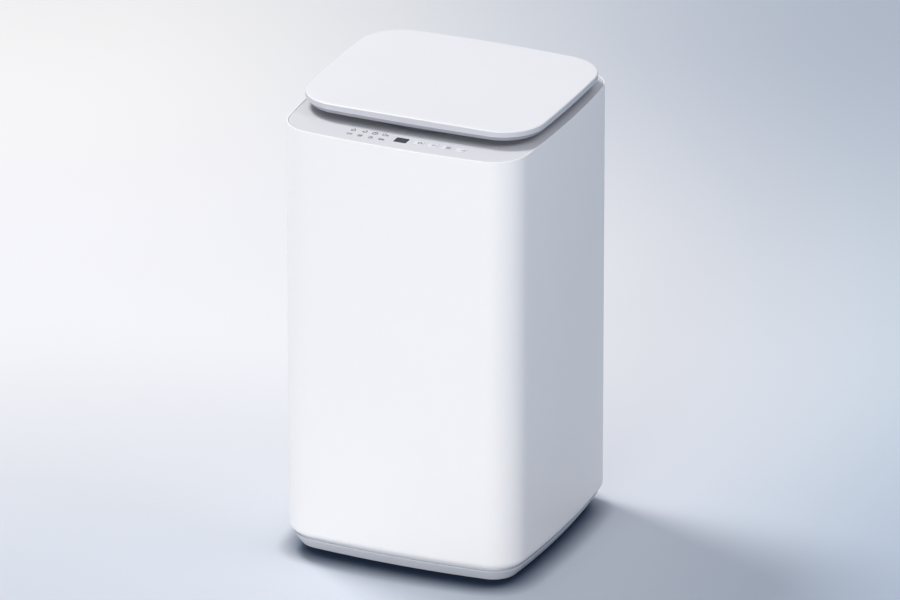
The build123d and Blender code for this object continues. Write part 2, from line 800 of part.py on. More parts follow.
# Rear service panel with louvres and two pockets, and its screws
pocket_places = [(inlet_x, inlet_z), (drain_x, spigot_z)]
pocket_floor_y = panel_back_y - pocket_depth
with BuildPart() as rear_panel:
    with BuildSketch(Plane.XZ.offset(-panel_back_y)):
        with Locations((0, panel_middle_z)):
            RectangleRounded(panel_width, panel_height, panel_corner)
    extrude(amount=panel_thickness)
    with BuildSketch(Plane.XZ.offset(-panel_front_y)):
        with Locations(*pocket_places):
            RectangleRounded(pocket_width + 2 * panel_thickness, pocket_height + 2 * panel_thickness,
                             pocket_corner + panel_thickness)
    extrude(amount=pocket_depth)
    with BuildSketch(Plane.XZ.offset(-panel_back_y)):
        with Locations(*pocket_places):
            RectangleRounded(pocket_width, pocket_height, pocket_corner)
    extrude(amount=pocket_depth, mode=Mode.SUBTRACT)
    with BuildSketch(Plane.XZ.offset(-panel_back_y)):
        with Locations(pocket_places[0]):
            Circle(inlet_thread_radius + hole_clearance)
        with Locations(pocket_places[1]):
            Circle(hose_radius + hole_clearance)
        with Locations((gland_x, gland_z)):
            Circle(gland_radius + contact_gap)
        with Locations((0, panel_middle_z)):
            with GridLocations(screw_columns, screw_pitch, 2, 3):
                Circle(screw_radius + running_gap)
        with Locations((0, panel_middle_z + louvre_rise)):
            with GridLocations(louvre_length + 2 * louvre_height, louvre_pitch, 2, louvre_rows):
                SlotOverall(louvre_length, louvre_height)
    extrude(amount=pocket_depth + panel_thickness, mode=Mode.SUBTRACT)
rear_panel.part.label = "rear_panel"
export_step(rear_panel.part, "parts/rear_panel.step")

screw_face_y = back_of_cabinet(screw_columns / 2 - screw_head_radius, 0)
with BuildPart() as rear_screws:
    with BuildSketch(Plane.XZ.offset(-screw_face_y)):
        with Locations((0, panel_middle_z)):
            with GridLocations(screw_columns, screw_pitch, 2, 3):
                Circle(screw_head_radius)
    extrude(amount=-screw_head_height)
    with BuildSketch(Plane.XZ.offset(-screw_face_y)):
        with Locations((0, panel_middle_z)):
            with GridLocations(screw_columns, screw_pitch, 2, 3):
                Circle(screw_radius)
    extrude(amount=screw_length)
rear_screws.part.label = "rear_screws"
export_step(rear_screws.part, "parts/rear_screws.step")

# Water inlet: threaded stub in its pocket, valve body and coil over the tub and a spout into the neck
valve_top_z = spout_z + coil_height / 2
valve_low_z = tub_rim_z + tub_flange + tub_travel_up + 2 * working_gap
valve_back_y = pocket_floor_y - panel_thickness
spout_reach = hypot(inlet_x, coil_front_y - tub_y)
with BuildPart() as inlet_valve:
    with BuildSketch(Plane.XZ.offset(-valve_back_y)):
        with Locations((inlet_x, (valve_low_z + valve_top_z) / 2)):
            Rectangle(valve_body_width, valve_top_z - valve_low_z)
    extrude(amount=valve_body_depth)
    with BuildSketch(Plane.XZ.offset(-valve_back_y)):
        with Locations((inlet_x, spout_z)):
            Rectangle(coil_width, coil_height)
    extrude(amount=valve_back_y - coil_front_y)
    with BuildSketch(Plane.XZ.offset(-valve_back_y)):
        with Locations((inlet_x, inlet_z)):
            Circle(inlet_thread_radius - neck_relief)
    extrude(amount=-(pocket_depth + panel_thickness - working_gap))
    with BuildSketch(Plane.XZ.offset(-(pocket_floor_y + working_gap / 2))):
        with Locations((inlet_x, inlet_z)):
            Circle(inlet_thread_radius)
    extrude(amount=-(pocket_depth - 1.5 * working_gap))
    with BuildSketch(Plane.XZ.offset(working_gap - panel_back_y)):
        with Locations((inlet_x, inlet_z)):
            Circle(inlet_bore_radius)
    extrude(amount=inlet_thread_length, mode=Mode.SUBTRACT)
    with BuildSketch(spout_plane.offset(mouth_radius - spout_lip)):
        Circle(spout_radius)
    extrude(amount=spout_reach - mouth_radius + 4 * spout_lip)
    with BuildSketch(spout_plane.offset(mouth_radius - spout_lip)):
        Circle(spout_radius - spout_wall)
    extrude(amount=spout_reach - mouth_radius + spout_lip, mode=Mode.SUBTRACT)
inlet_valve.part.label = "inlet_valve"
export_step(inlet_valve.part, "parts/inlet_valve.step")

# Gland for the mains cord, which the photograph doesn't show
with BuildPart() as cord_gland:
    with BuildSketch(Plane.XZ.offset(-panel_back_y)):
        with Locations((gland_x, gland_z)):
            Circle(gland_radius + gland_flange)
    extrude(amount=-gland_head)
    with BuildSketch(Plane.XZ.offset(-panel_back_y)):
        with Locations((gland_x, gland_z)):
            Circle(gland_radius)
    extrude(amount=gland_neck)
    with BuildSketch(Plane.XZ.offset(-panel_back_y - gland_head)):
        with Locations((gland_x, gland_z)):
            Circle(gland_bore_radius)
    extrude(amount=gland_head + gland_neck, mode=Mode.SUBTRACT)
cord_gland.part.label = "cord_gland"
export_step(cord_gland.part, "parts/cord_gland.step")

# Drain elbow: from the bellows down and out through the lower pocket
bellows_low_z = spigot_z + elbow_turn_radius + working_gap
spigot_end_y = panel_back_y - spigot_setback
with BuildPart() as drain_elbow:
    with BuildLine():
        FilletPolyline((drain_x, drain_y, bellows_low_z), (drain_x, drain_y, spigot_z),
                       (drain_x, spigot_end_y, spigot_z), radius=elbow_turn_radius)
    with BuildSketch(Plane((drain_x, drain_y, bellows_low_z))):
        Circle(hose_radius)
        Circle(hose_radius - valve_wall, mode=Mode.SUBTRACT)
    sweep()
    with BuildSketch(Plane.XZ.offset(panel_thickness - pocket_floor_y)):
        with Locations((drain_x, spigot_z)):
            Circle(hose_radius + spigot_flange)
            Circle(hose_radius - valve_wall, mode=Mode.SUBTRACT)
    extrude(amount=panel_thickness)
    with BuildSketch(Plane.XZ.offset(panel_thickness - pocket_floor_y)):
        with Locations((drain_x, spigot_z)):
            Circle(hose_radius + neck_relief)
            Circle(hose_radius - neck_relief, mode=Mode.SUBTRACT)
    extrude(amount=-(panel_thickness + working_gap / 2), mode=Mode.SUBTRACT)
drain_elbow.part.label = "drain_elbow"
export_step(drain_elbow.part, "parts/drain_elbow.step")

# Capacitor of the drive motor, lying in saddles on the floor pan
capacitor_x = capacitor_inset - cabinet_width / 2
capacitor_z = pan_floor_z + capacitor_radius + capacitor_lift
with BuildPart() as run_capacitor:
    with BuildSketch(Plane.XZ.offset(capacitor_front)):
        with Locations((capacitor_x, capacitor_z)):
            Circle(capacitor_radius)
    extrude(amount=capacitor_length)
    fillet(run_capacitor.faces().filter_by(GeomType.PLANE).edges(), capacitor_edge)
    for step in (saddle_inset, capacitor_length - saddle_inset - saddle_length):
        with BuildSketch(Plane.XZ.offset(capacitor_front + step)):
            with Locations((capacitor_x, (pan_floor_z + capacitor_z) / 2)):
                Rectangle(saddle_width, capacitor_z - pan_floor_z)
        extrude(amount=saddle_length)
run_capacitor.part.label = "run_capacitor"
export_step(run_capacitor.part, "parts/run_capacitor.step")

# Suspension: corner shelves, hanging rods with ball heads and lower seats, and their springs
shelf_inner = tub_radius + tub_wall + shelf_clearance
shelf_side = rod_inset + shelf_overhang
shelf_x = cabinet_width - shelf_side
shelf_y = cabinet_depth - shelf_side
with BuildPart() as suspension_shelves:
    with BuildSketch(Plane.XY.offset(shelf_z)):
        with GridLocations(shelf_x, shelf_y, 2, 2):
            Rectangle(shelf_side, shelf_side)
        add(shell_inner, mode=Mode.INTERSECT)
        with Locations((0, tub_y)):
            Circle(shelf_inner, mode=Mode.SUBTRACT)
        with Locations(*rod_places):
            Circle(rod_radius + working_gap, mode=Mode.SUBTRACT)
    extrude(amount=-shelf_thickness)
suspension_shelves.part.label = "suspension_shelves"
export_step(suspension_shelves.part, "parts/suspension_shelves.step")

with BuildPart() as suspension_rods:
    with BuildSketch(Plane.XY.offset(rod_seat_z)):
        with Locations(*rod_places):
            Circle(rod_radius)
    extrude(amount=shelf_z - rod_seat_z)
    with BuildSketch(Plane.XY.offset(rod_seat_z)):
        with Locations(*rod_places):
            Circle(rod_seat_radius)
    extrude(amount=rod_seat_thickness)
    with BuildSketch(Plane.XY.offset(rod_seat_z - rod_nut_height)):
        with Locations(*rod_places):
            RegularPolygon(2 * rod_radius, 6)
    extrude(amount=rod_nut_height)
    with BuildSketch(Plane.XY.offset(shelf_z)):
        with Locations(*rod_places):
            Circle(rod_ball_radius)
    extrude(amount=rod_ball_radius)
    fillet(suspension_rods.faces().sort_by(Axis.Z)[-4:].edges(), rod_ball_radius - working_gap)
suspension_rods.part.label = "suspension_rods"
export_step(suspension_rods.part, "parts/suspension_rods.step")

spring_low_z = rod_seat_z + rod_seat_thickness + spring_wire / 2 + contact_gap
spring_high_z = spring_top_z - spring_wire / 2 - contact_gap
spring_pitch = (spring_high_z - spring_low_z) / spring_turns
with BuildPart() as one_spring:
    with BuildLine():
        coil = Helix(pitch=spring_pitch, height=spring_high_z - spring_low_z, radius=spring_radius)
    with BuildSketch(Plane(origin=coil @ 0, z_dir=coil % 0)):
        Circle(spring_wire / 2)
    sweep(is_frenet=True)
with BuildPart() as suspension_springs:
    with Locations(*[(x, y, spring_low_z) for x, y in rod_places]):
        add(one_spring.part)
suspension_springs.part.label = "suspension_springs"
export_step(suspension_springs.part, "parts/suspension_springs.step")

# Cups that slide on the rods under the tub's lugs and hold the springs' upper ends
with BuildPart() as suspension_cups:
    with BuildSketch(Plane.XY.offset(cup_z)):
        with Locations(*rod_places):
            Circle(cup_radius)
    extrude(amount=cup_height)
    with BuildSketch(Plane.XY.offset(cup_z)):
        with Locations(*rod_places):
            Circle(rod_seat_radius)
    extrude(amount=spring_top_z - cup_z, mode=Mode.SUBTRACT)
    with BuildSketch(Plane.XY.offset(cup_z)):
        with Locations(*rod_places):
            Circle(rod_radius + 1.5 * running_gap)
    extrude(amount=cup_height, mode=Mode.SUBTRACT)
suspension_cups.part.label = "suspension_cups"
export_step(suspension_cups.part, "parts/suspension_cups.step")

# Outer tub with its lugs, a rib ring on the support plate, the shaft hole and the drain port
drain_port = (drain_x, drain_y)
tub_outer_radius = tub_radius + tub_wall
collar_radius = bearing_radius + collar_wall
with BuildPart() as outer_tub:
    for x, y in rod_places:
        reach = hypot(x, y - tub_y)
        turn = degrees(atan2(y - tub_y, x))
        with BuildSketch(Plane((0, tub_y, lug_z), x_dir=(cos(radians(turn)), sin(radians(turn)), 0))):
            with Locations((reach / 2, 0)):
                Rectangle(reach, lug_width)
            with Locations((reach, 0)):
                Circle(lug_width / 2)
        extrude(amount=lug_thickness)
    with BuildSketch(level(tub_bottom)):
        Circle(tub_outer_radius)
    extrude(amount=tub_height)
    fillet(outer_tub.faces().sort_by(Axis.Z)[0].edges(), tub_edge)
    with BuildSketch(level(tub_bottom + tub_floor)):
        Circle(tub_radius)
    extrude(amount=tub_height, mode=Mode.SUBTRACT)
    with BuildSketch(level(plate_z + plate_thickness)):
        for rib_radius in (tub_rib_radius, hub_rib_radius):
            Circle(rib_radius)
            Circle(rib_radius - tub_rib_width, mode=Mode.SUBTRACT)
    extrude(amount=plate_rib)
    with BuildSketch(level(tub_bottom)):
        Circle(collar_radius + running_gap)
    extrude(amount=tub_floor, mode=Mode.SUBTRACT)
    with BuildSketch(Plane.XY.offset(plate_z)):
        with Locations(drain_port):
            Circle(hose_radius + port_wall)
    extrude(amount=tub_floor + plate_rib + plate_thickness)
    with BuildSketch(Plane.XY.offset(plate_z)):
        with Locations(drain_port):
            Circle(hose_radius - valve_wall)
    extrude(amount=tub_floor + plate_rib + plate_thickness, mode=Mode.SUBTRACT)
    with BuildSketch(Plane.XY.offset(lug_z)):
        with Locations(*rod_places):
            Circle(rod_radius + 1.5 * working_gap)
    extrude(amount=lug_thickness, mode=Mode.SUBTRACT)
outer_tub.part.label = "outer_tub"
export_step(outer_tub.part, "parts/outer_tub.step")

# Ring on the tub's rim that narrows its mouth
with BuildPart() as tub_cover:
    with BuildSketch(level(tub_rim_z)):
        Circle(tub_outer_radius + cover_skirt)
        Circle(tub_cover_radius, mode=Mode.SUBTRACT)
    extrude(amount=tub_flange)
    with BuildSketch(level(tub_rim_z)):
        Circle(tub_cover_radius + cover_lip)
        Circle(tub_cover_radius, mode=Mode.SUBTRACT)
    extrude(amount=tub_cover_thickness)
    with BuildSketch(level(tub_rim_z - skirt_height)):
        Circle(tub_outer_radius + cover_skirt)
        Circle(tub_outer_radius + running_gap, mode=Mode.SUBTRACT)
    extrude(amount=skirt_height)
    fillet(tub_cover.faces().sort_by(Axis.Z)[-1].edges(), cover_edge)
tub_cover.part.label = "tub_cover"
export_step(tub_cover.part, "parts/tub_cover.step")

# Steel plate under the tub that carries the clutch housing and the motor
motor_y = tub_y - motor_offset
motor_foot = motor_radius + motor_flange
with BuildPart() as support_plate:
    with BuildSketch(level(plate_z)):
        Circle(plate_radius)
        with Locations((0, plate_corner - motor_offset)):
            RectangleRounded(2 * motor_foot, 2 * (motor_foot - plate_corner), plate_corner)
        Circle(collar_radius + running_gap, mode=Mode.SUBTRACT)
        with Locations((drain_x, drain_y - tub_y)):
            Circle(hose_radius + port_wall + 2 * working_gap, mode=Mode.SUBTRACT)
    extrude(amount=plate_thickness)
support_plate.part.label = "support_plate"
export_step(support_plate.part, "parts/support_plate.step")

# Clutch housing: a drum under the plate and a collar up through the tub's floor
spindle_y = tub_y + clutch_radius + spindle_gap
boss_places = [clutch_bottom_z + boss_height, plate_z - clutch_flange - 2 * boss_height]
bearing_places = [clutch_bottom_z + bearing_inset, tub_bottom - bearing_height - bearing_inset / 2]
shaft_collar_z = tub_bottom + tub_floor + collar_rise
with BuildPart() as clutch_housing:
    with BuildSketch(level(clutch_bottom_z)):
        Circle(clutch_radius)
    extrude(amount=clutch_height)
    fillet(clutch_housing.faces().sort_by(Axis.Z)[0].edges(), clutch_edge)
    with BuildSketch(level(plate_z - clutch_flange)):
        Circle(clutch_radius + clutch_flange_width)
    extrude(amount=clutch_flange)
    with BuildSketch(level(plate_z)):
        Circle(collar_radius)
    extrude(amount=shaft_collar_z - plate_z)
    for z in boss_places:
        with BuildSketch(Plane((0, 0, z))):
            with Locations((0, spindle_y)):
                Circle(spindle_radius + spindle_wall)
            with Locations((0, spindle_y - spindle_gap)):
                Rectangle(2 * (spindle_radius + spindle_wall), 2 * spindle_gap)
        extrude(amount=boss_height)
        with BuildSketch(Plane((0, spindle_y, z))):
            Circle(spindle_radius + running_gap)
        extrude(amount=boss_height, mode=Mode.SUBTRACT)
    with BuildSketch(level(clutch_bottom_z)):
        Circle(spin_tube_radius + tube_clearance)
    extrude(amount=shaft_collar_z - clutch_bottom_z, mode=Mode.SUBTRACT)
    for z in bearing_places:
        with BuildSketch(level(z)):
            Circle(bearing_radius)
        extrude(amount=bearing_height, mode=Mode.SUBTRACT)
clutch_housing.part.label = "clutch_housing"
export_step(clutch_housing.part, "parts/clutch_housing.step")

with BuildPart() as shaft_bearings:
    for z in bearing_places:
        with BuildSketch(level(z)):
            Circle(bearing_radius)
            Circle(spin_tube_radius + running_gap, mode=Mode.SUBTRACT)
        extrude(amount=bearing_height)
    with BuildSketch(level(tub_bottom + working_gap)):
        Circle(spin_tube_radius + tube_clearance)
        Circle(spin_tube_radius + running_gap, mode=Mode.SUBTRACT)
    extrude(amount=tub_floor + 2 * working_gap)
shaft_bearings.part.label = "shaft_bearings"
export_step(shaft_bearings.part, "parts/shaft_bearings.step")

# Spin tube: the hollow shaft that carries the drum
spin_tube_bottom = clutch_bottom_z - sleeve_height - sleeve_travel - working_gap
with BuildPart() as spin_tube:
    with BuildSketch(level(spin_tube_bottom)):
        Circle(spin_tube_radius)
    extrude(amount=drum_floor_top_z - spin_tube_bottom)
    with BuildSketch(level(drum_floor_z - tube_flange)):
        Circle(bearing_radius + tube_flange_width)
    extrude(amount=tube_flange)
    with BuildSketch(level(spin_tube_bottom)):
        Circle(shaft_radius + running_gap)
    extrude(amount=drum_floor_top_z - spin_tube_bottom, mode=Mode.SUBTRACT)
spin_tube.part.label = "spin_tube"
export_step(spin_tube.part, "parts/spin_tube.step")

# Drum: perforated wall, ribbed floor and balance ring
hole_pitch = (drum_height - holes_from_floor - holes_from_rim) / hole_rows
with BuildPart() as basket_wall:
    with BuildSketch(level(drum_floor_z)):
        Circle(drum_radius)
        Circle(drum_radius - drum_wall, mode=Mode.SUBTRACT)
    extrude(amount=drum_height)
    for row in range(hole_rows):
        with Locations((0, tub_y, drum_floor_z + holes_from_floor + row * hole_pitch)):
            with PolarLocations(drum_radius, hole_columns, 180 / hole_columns * (row % 2)):
                Cylinder(hole_radius, 4 * drum_wall, rotation=(0, 90, 0), mode=Mode.SUBTRACT)
basket_wall.part.label = "basket_wall"
export_step(basket_wall.part, "parts/basket_wall.step")

with BuildPart() as basket_floor:
    with BuildSketch(level(drum_floor_z)):
        Circle(drum_radius - drum_wall)
        Circle(spin_tube_radius, mode=Mode.SUBTRACT)
        with PolarLocations(disc_radius + floor_slot_setback, floor_slots):
            SlotOverall(floor_slot_length, floor_slot_width, rotation=90, mode=Mode.SUBTRACT)
    extrude(amount=drum_floor_thickness)
basket_floor.part.label = "basket_floor"
export_step(basket_floor.part, "parts/basket_floor.step")

with BuildPart() as balance_ring:
    with BuildSketch(level(drum_rim_z)):
        Circle(drum_radius + ring_overhang)
        Circle(ring_inner_radius, mode=Mode.SUBTRACT)
    extrude(amount=ring_height)
    fillet(balance_ring.edges().filter_by(GeomType.CIRCLE), ring_edge)
balance_ring.part.label = "balance_ring"
export_step(balance_ring.part, "parts/balance_ring.step")

# Brush strips on the drum's wall: a holder and its bristles each
strip_step = strip_arc / strip_count
strip_face = drum_radius - drum_wall - strip_thickness
strip_z = drum_floor_top_z + strip_lift
with BuildPart() as brush_holders:
    with BuildSketch(level(strip_z)):
        with PolarLocations(strip_face + strip_thickness, strip_count, strip_first_turn, strip_arc):
            Rectangle(2 * strip_thickness, strip_width)
        Circle(drum_radius - drum_wall, mode=Mode.INTERSECT)
    extrude(amount=strip_length)
brush_holders.part.label = "brush_holders"
export_step(brush_holders.part, "parts/brush_holders.step")

bristle_tip = strip_face - soft_gap - strip_bristle_depth
with BuildPart() as strip_bristles:
    with BuildSketch(level(strip_z + strip_end)):
        with PolarLocations(bristle_tip + strip_bristle_depth / 2, strip_count, strip_first_turn, strip_arc):
            Rectangle(strip_bristle_depth - 2 * soft_gap, strip_bristle_width)
    extrude(amount=strip_length - 2 * strip_end)
strip_bristles.part.label = "strip_bristles"
export_step(strip_bristles.part, "parts/strip_bristles.step")

# Lint filter in the gap between the strips, and the rails that it slides up
filter_turn = radians(strip_first_turn - strip_step)
filter_plane = Plane((0, tub_y, drum_floor_top_z + filter_lift),
                     x_dir=(cos(filter_turn), sin(filter_turn), 0))
filter_reach = drum_radius - drum_wall - filter_depth
filter_middle = filter_reach + filter_depth / 2
with BuildPart() as lint_filter:
    with BuildSketch(filter_plane):
        with Locations((filter_middle, 0)):
            Rectangle(filter_depth, filter_width)
        Circle(drum_radius - drum_wall - soft_gap, mode=Mode.INTERSECT)
    extrude(amount=filter_height)
    with BuildSketch(filter_plane.offset(filter_frame)):
        with Locations((filter_middle, 0)):
            Rectangle(2 * filter_depth, filter_width - 2 * filter_frame)
        Circle(filter_reach + filter_back, mode=Mode.SUBTRACT)
    extrude(amount=filter_height - 2 * filter_frame, mode=Mode.SUBTRACT)
lint_filter.part.label = "lint_filter"
export_step(lint_filter.part, "parts/lint_filter.step")

rail_step = (filter_width + rail_width) / 2 + soft_gap
with BuildPart() as filter_rails:
    with BuildSketch(filter_plane):
        with Locations((filter_middle, -rail_step), (filter_middle, rail_step)):
            Rectangle(filter_depth + 2 * working_gap, rail_width)
        Circle(drum_radius - drum_wall, mode=Mode.INTERSECT)
    extrude(amount=filter_height)
    with BuildSketch(filter_plane.offset(-rail_width - contact_gap)):
        with Locations((filter_middle + working_gap, 0)):
            Rectangle(filter_depth, filter_width)
        Circle(drum_radius - drum_wall, mode=Mode.INTERSECT)
    extrude(amount=rail_width)
filter_rails.part.label = "filter_rails"
export_step(filter_rails.part, "parts/filter_rails.step")

# Agitator: vaned disc with a hub, brush column, cap, shaft and drive pulley
with BuildPart() as pulsator:
    with BuildSketch(level(disc_z)):
        Circle(disc_radius)
    extrude(amount=disc_thickness)
    fillet(pulsator.faces().sort_by(Axis.Z)[-1].edges(), disc_thickness - disc_rim)
    with BuildSketch(level(disc_z + disc_rim)):
        with PolarLocations(disc_radius / 2 + vane_shift, vane_count):
            SlotOverall(disc_radius - vane_inset, vane_width)
    extrude(amount=disc_thickness - disc_rim + vane_height, taper=vane_taper)
    with BuildSketch(level(disc_z + disc_rim)):
        Circle(column_base_radius + cone_spread)
    extrude(amount=column_z - disc_z - disc_rim, taper=cone_taper)
    with BuildSketch(level(disc_z)):
        Circle(shaft_radius + running_gap)
    extrude(amount=column_z - disc_z, mode=Mode.SUBTRACT)
pulsator.part.label = "pulsator"
export_step(pulsator.part, "parts/pulsator.step")

with BuildPart() as brush_core:
    with BuildSketch(level(column_z)):
        Circle(column_radius)
    extrude(amount=column_height)
    with BuildSketch(level(column_z)):
        Circle(column_base_radius)
    extrude(amount=core_flange)
    with BuildSketch(level(column_top_z - core_flange)):
        Circle(column_base_radius)
    extrude(amount=core_flange)
brush_core.part.label = "brush_core"
export_step(brush_core.part, "parts/brush_core.step")

bristle_z = column_z + (column_height - bristle_length) / 2
with BuildPart() as column_bristles:
    with BuildSketch(level(bristle_z)):
        Circle(bristle_radius)
        Circle(column_radius + soft_gap, mode=Mode.SUBTRACT)
    extrude(amount=bristle_length)
column_bristles.part.label = "column_bristles"
export_step(column_bristles.part, "parts/column_bristles.step")

with BuildPart() as column_cap:
    with BuildSketch(level(column_top_z)):
        Circle(cap_radius)
    extrude(amount=cap_height)
    fillet(column_cap.faces().sort_by(Axis.Z)[-1].edges(), cap_height - cap_skirt)
column_cap.part.label = "column_cap"
export_step(column_cap.part, "parts/column_cap.step")

hub_top_z = spin_tube_bottom - 2.5 * working_gap
with BuildPart() as agitator_shaft:
    with BuildSketch(level(pulley_z - shaft_nut_height)):
        Circle(shaft_radius)
    extrude(amount=column_z - pulley_z + shaft_nut_height)
    with BuildSketch(level(pulley_z - shaft_nut_height)):
        RegularPolygon(1.6 * shaft_radius, 6)
    extrude(amount=shaft_nut_height)
agitator_shaft.part.label = "agitator_shaft"
export_step(agitator_shaft.part, "parts/agitator_shaft.step")

groove_z = pulley_z + (pulley_height - belt_width - working_gap) / 2
with BuildPart() as drive_pulley:
    with BuildSketch(level(pulley_z)):
        Circle(pulley_radius)
        Circle(pulley_radius - belt_thickness - pulley_rim, mode=Mode.SUBTRACT)
    extrude(amount=pulley_height)
    with BuildSketch(level(groove_z)):
        Circle(pulley_radius)
        Circle(pulley_radius - belt_thickness, mode=Mode.SUBTRACT)
    extrude(amount=belt_width + working_gap, mode=Mode.SUBTRACT)
    with BuildSketch(level(pulley_z + (pulley_height - pulley_web) / 2)):
        Circle(pulley_radius - belt_thickness - pulley_rim)
        with PolarLocations((pulley_radius + pulley_hub_radius - belt_thickness) / 2, pulley_windows):
            Circle(pulley_window_radius, mode=Mode.SUBTRACT)
    extrude(amount=pulley_web)
    with BuildSketch(level(pulley_z)):
        Circle(pulley_hub_radius)
    extrude(amount=hub_top_z - pulley_z)
    with BuildSketch(level(pulley_z)):
        Circle(shaft_radius)
    extrude(amount=hub_top_z - pulley_z, mode=Mode.SUBTRACT)
drive_pulley.part.label = "drive_pulley"
export_step(drive_pulley.part, "parts/drive_pulley.step")

# Clutch sleeve that slides on the spin tube down to the pulley's hub
with BuildPart() as clutch_sleeve:
    with BuildSketch(level(spin_tube_bottom + 2 * working_gap)):
        Circle(sleeve_radius)
        Circle(spin_tube_radius + running_gap, mode=Mode.SUBTRACT)
    extrude(amount=sleeve_height)
    with BuildSketch(level(spin_tube_bottom + 2 * working_gap + sleeve_height / 3)):
        Circle(sleeve_radius)
        Circle(sleeve_radius - sleeve_groove, mode=Mode.SUBTRACT)
    extrude(amount=sleeve_height / 3, mode=Mode.SUBTRACT)
clutch_sleeve.part.label = "clutch_sleeve"
export_step(clutch_sleeve.part, "parts/clutch_sleeve.step")

# Motor: housing, stator ring, rotor with its shaft, and pulley
motor_z = plate_z - motor_height
motor_level = Plane((0, motor_y, motor_z))
with BuildPart() as motor_housing:
    with BuildSketch(motor_level):
        Circle(motor_radius)
    extrude(amount=motor_height)
    fillet(motor_housing.edges().filter_by(GeomType.CIRCLE), motor_edge)
    with BuildSketch(motor_level.offset(motor_height / 2)):
        Rectangle(2 * motor_lug_reach, motor_lug_width)
    extrude(amount=motor_height / 2)
    with BuildSketch(motor_level.offset(motor_cap)):
        Circle(motor_radius - motor_cap)
    extrude(amount=motor_height - 2 * motor_cap, mode=Mode.SUBTRACT)
    with BuildSketch(motor_level):
        Circle(motor_shaft_radius + running_gap)
    extrude(amount=motor_height, mode=Mode.SUBTRACT)
motor_housing.part.label = "motor_housing"
export_step(motor_housing.part, "parts/motor_housing.step")

with BuildPart() as motor_stator:
    with BuildSketch(motor_level.offset(motor_cap + stator_inset)):
        Circle(motor_radius - motor_cap)
        Circle(rotor_radius + working_gap, mode=Mode.SUBTRACT)
    extrude(amount=motor_height - 2 * (motor_cap + stator_inset))
motor_stator.part.label = "motor_stator"
export_step(motor_stator.part, "parts/motor_stator.step")

with BuildPart() as motor_rotor:
    with BuildSketch(motor_level.offset(motor_cap + rotor_inset)):
        Circle(rotor_radius)
    extrude(amount=motor_height - 2 * (motor_cap + rotor_inset))
    with BuildSketch(Plane((0, motor_y, pulley_z - motor_shaft_tip))):
        Circle(motor_shaft_radius)
    extrude(amount=plate_z - working_gap - pulley_z + motor_shaft_tip)
motor_rotor.part.label = "motor_rotor"
export_step(motor_rotor.part, "parts/motor_rotor.step")

with BuildPart() as motor_pulley:
    with BuildSketch(Plane((0, motor_y, pulley_z))):
        Circle(motor_pulley_radius)
    extrude(amount=pulley_height)
    with BuildSketch(Plane((0, motor_y, groove_z))):
        Circle(motor_pulley_radius)
        Circle(motor_pulley_radius - belt_thickness, mode=Mode.SUBTRACT)
    extrude(amount=belt_width + working_gap, mode=Mode.SUBTRACT)
    with BuildSketch(Plane((0, motor_y, pulley_z + pulley_height))):
        Circle(motor_pulley_radius - motor_hub_step)
    extrude(amount=motor_hub_step)
    with BuildSketch(Plane((0, motor_y, pulley_z))):
        Circle(motor_shaft_radius)
    extrude(amount=pulley_height + motor_hub_step, mode=Mode.SUBTRACT)
motor_pulley.part.label = "motor_pulley"
export_step(motor_pulley.part, "parts/motor_pulley.step")

# Belt round both pulleys
with BuildPart() as drive_belt:
    with BuildSketch(level(pulley_z + (pulley_height - belt_width) / 2)):
        Circle(pulley_radius + belt_lift)
        with Locations((0, -motor_offset)):
            Circle(motor_pulley_radius + belt_lift)
        make_hull()
    extrude(amount=belt_width)
    with BuildSketch(level(pulley_z + (pulley_height - belt_width) / 2)):
        Circle(pulley_radius - belt_thickness + belt_lift)
        with Locations((0, -motor_offset)):
            Circle(motor_pulley_radius - belt_thickness + belt_lift)
        make_hull()
    extrude(amount=belt_width, mode=Mode.SUBTRACT)
drive_belt.part.label = "drive_belt"
export_step(drive_belt.part, "parts/drive_belt.step")

# Drain valve: a chamber along X under the tub's port, its plunger and the rod that pulls it
valve_x = drain_x - valve_shift
valve_start_x = valve_x - valve_length / 2
valve_bore = valve_radius - valve_wall
valve_end_z = valve_z - valve_radius - valve_outlet
with BuildPart() as drain_valve_body:
    with BuildSketch(Plane.YZ.offset(valve_start_x)):
        with Locations((drain_y, valve_z)):
            Circle(valve_radius)
    extrude(amount=valve_length)
    with BuildSketch(Plane((drain_x, drain_y, valve_end_z))):
        Circle(hose_radius)
    extrude(amount=plate_z - valve_end_z)
    with BuildSketch(Plane((drain_x, drain_y, valve_z))):
        Circle(hose_radius + port_wall)
    extrude(amount=plate_z - valve_z)
    with BuildSketch(Plane((drain_x, drain_y, valve_end_z))):
        Circle(hose_radius - valve_wall)
    extrude(amount=plate_z - valve_end_z, mode=Mode.SUBTRACT)
    with BuildSketch(Plane.YZ.offset(valve_start_x + valve_wall)):
        with Locations((drain_y, valve_z)):
            Circle(valve_bore)
    extrude(amount=valve_length - 2 * valve_wall, mode=Mode.SUBTRACT)
    with BuildSketch(Plane.YZ.offset(valve_start_x)):
        with Locations((drain_y, valve_z)):
            Circle(traction_rod_radius + running_gap)
    extrude(amount=valve_wall, mode=Mode.SUBTRACT)
drain_valve_body.part.label = "drain_valve_body"
export_step(drain_valve_body.part, "parts/drain_valve_body.step")

plunger_x = drain_x - plunger_length / 2
with BuildPart() as drain_plunger:
    with BuildSketch(Plane.YZ.offset(plunger_x)):
        with Locations((drain_y, valve_z)):
            Circle(valve_bore - 2 * running_gap)
    extrude(amount=plunger_length)
drain_plunger.part.label = "drain_plunger"
export_step(drain_plunger.part, "parts/drain_plunger.step")

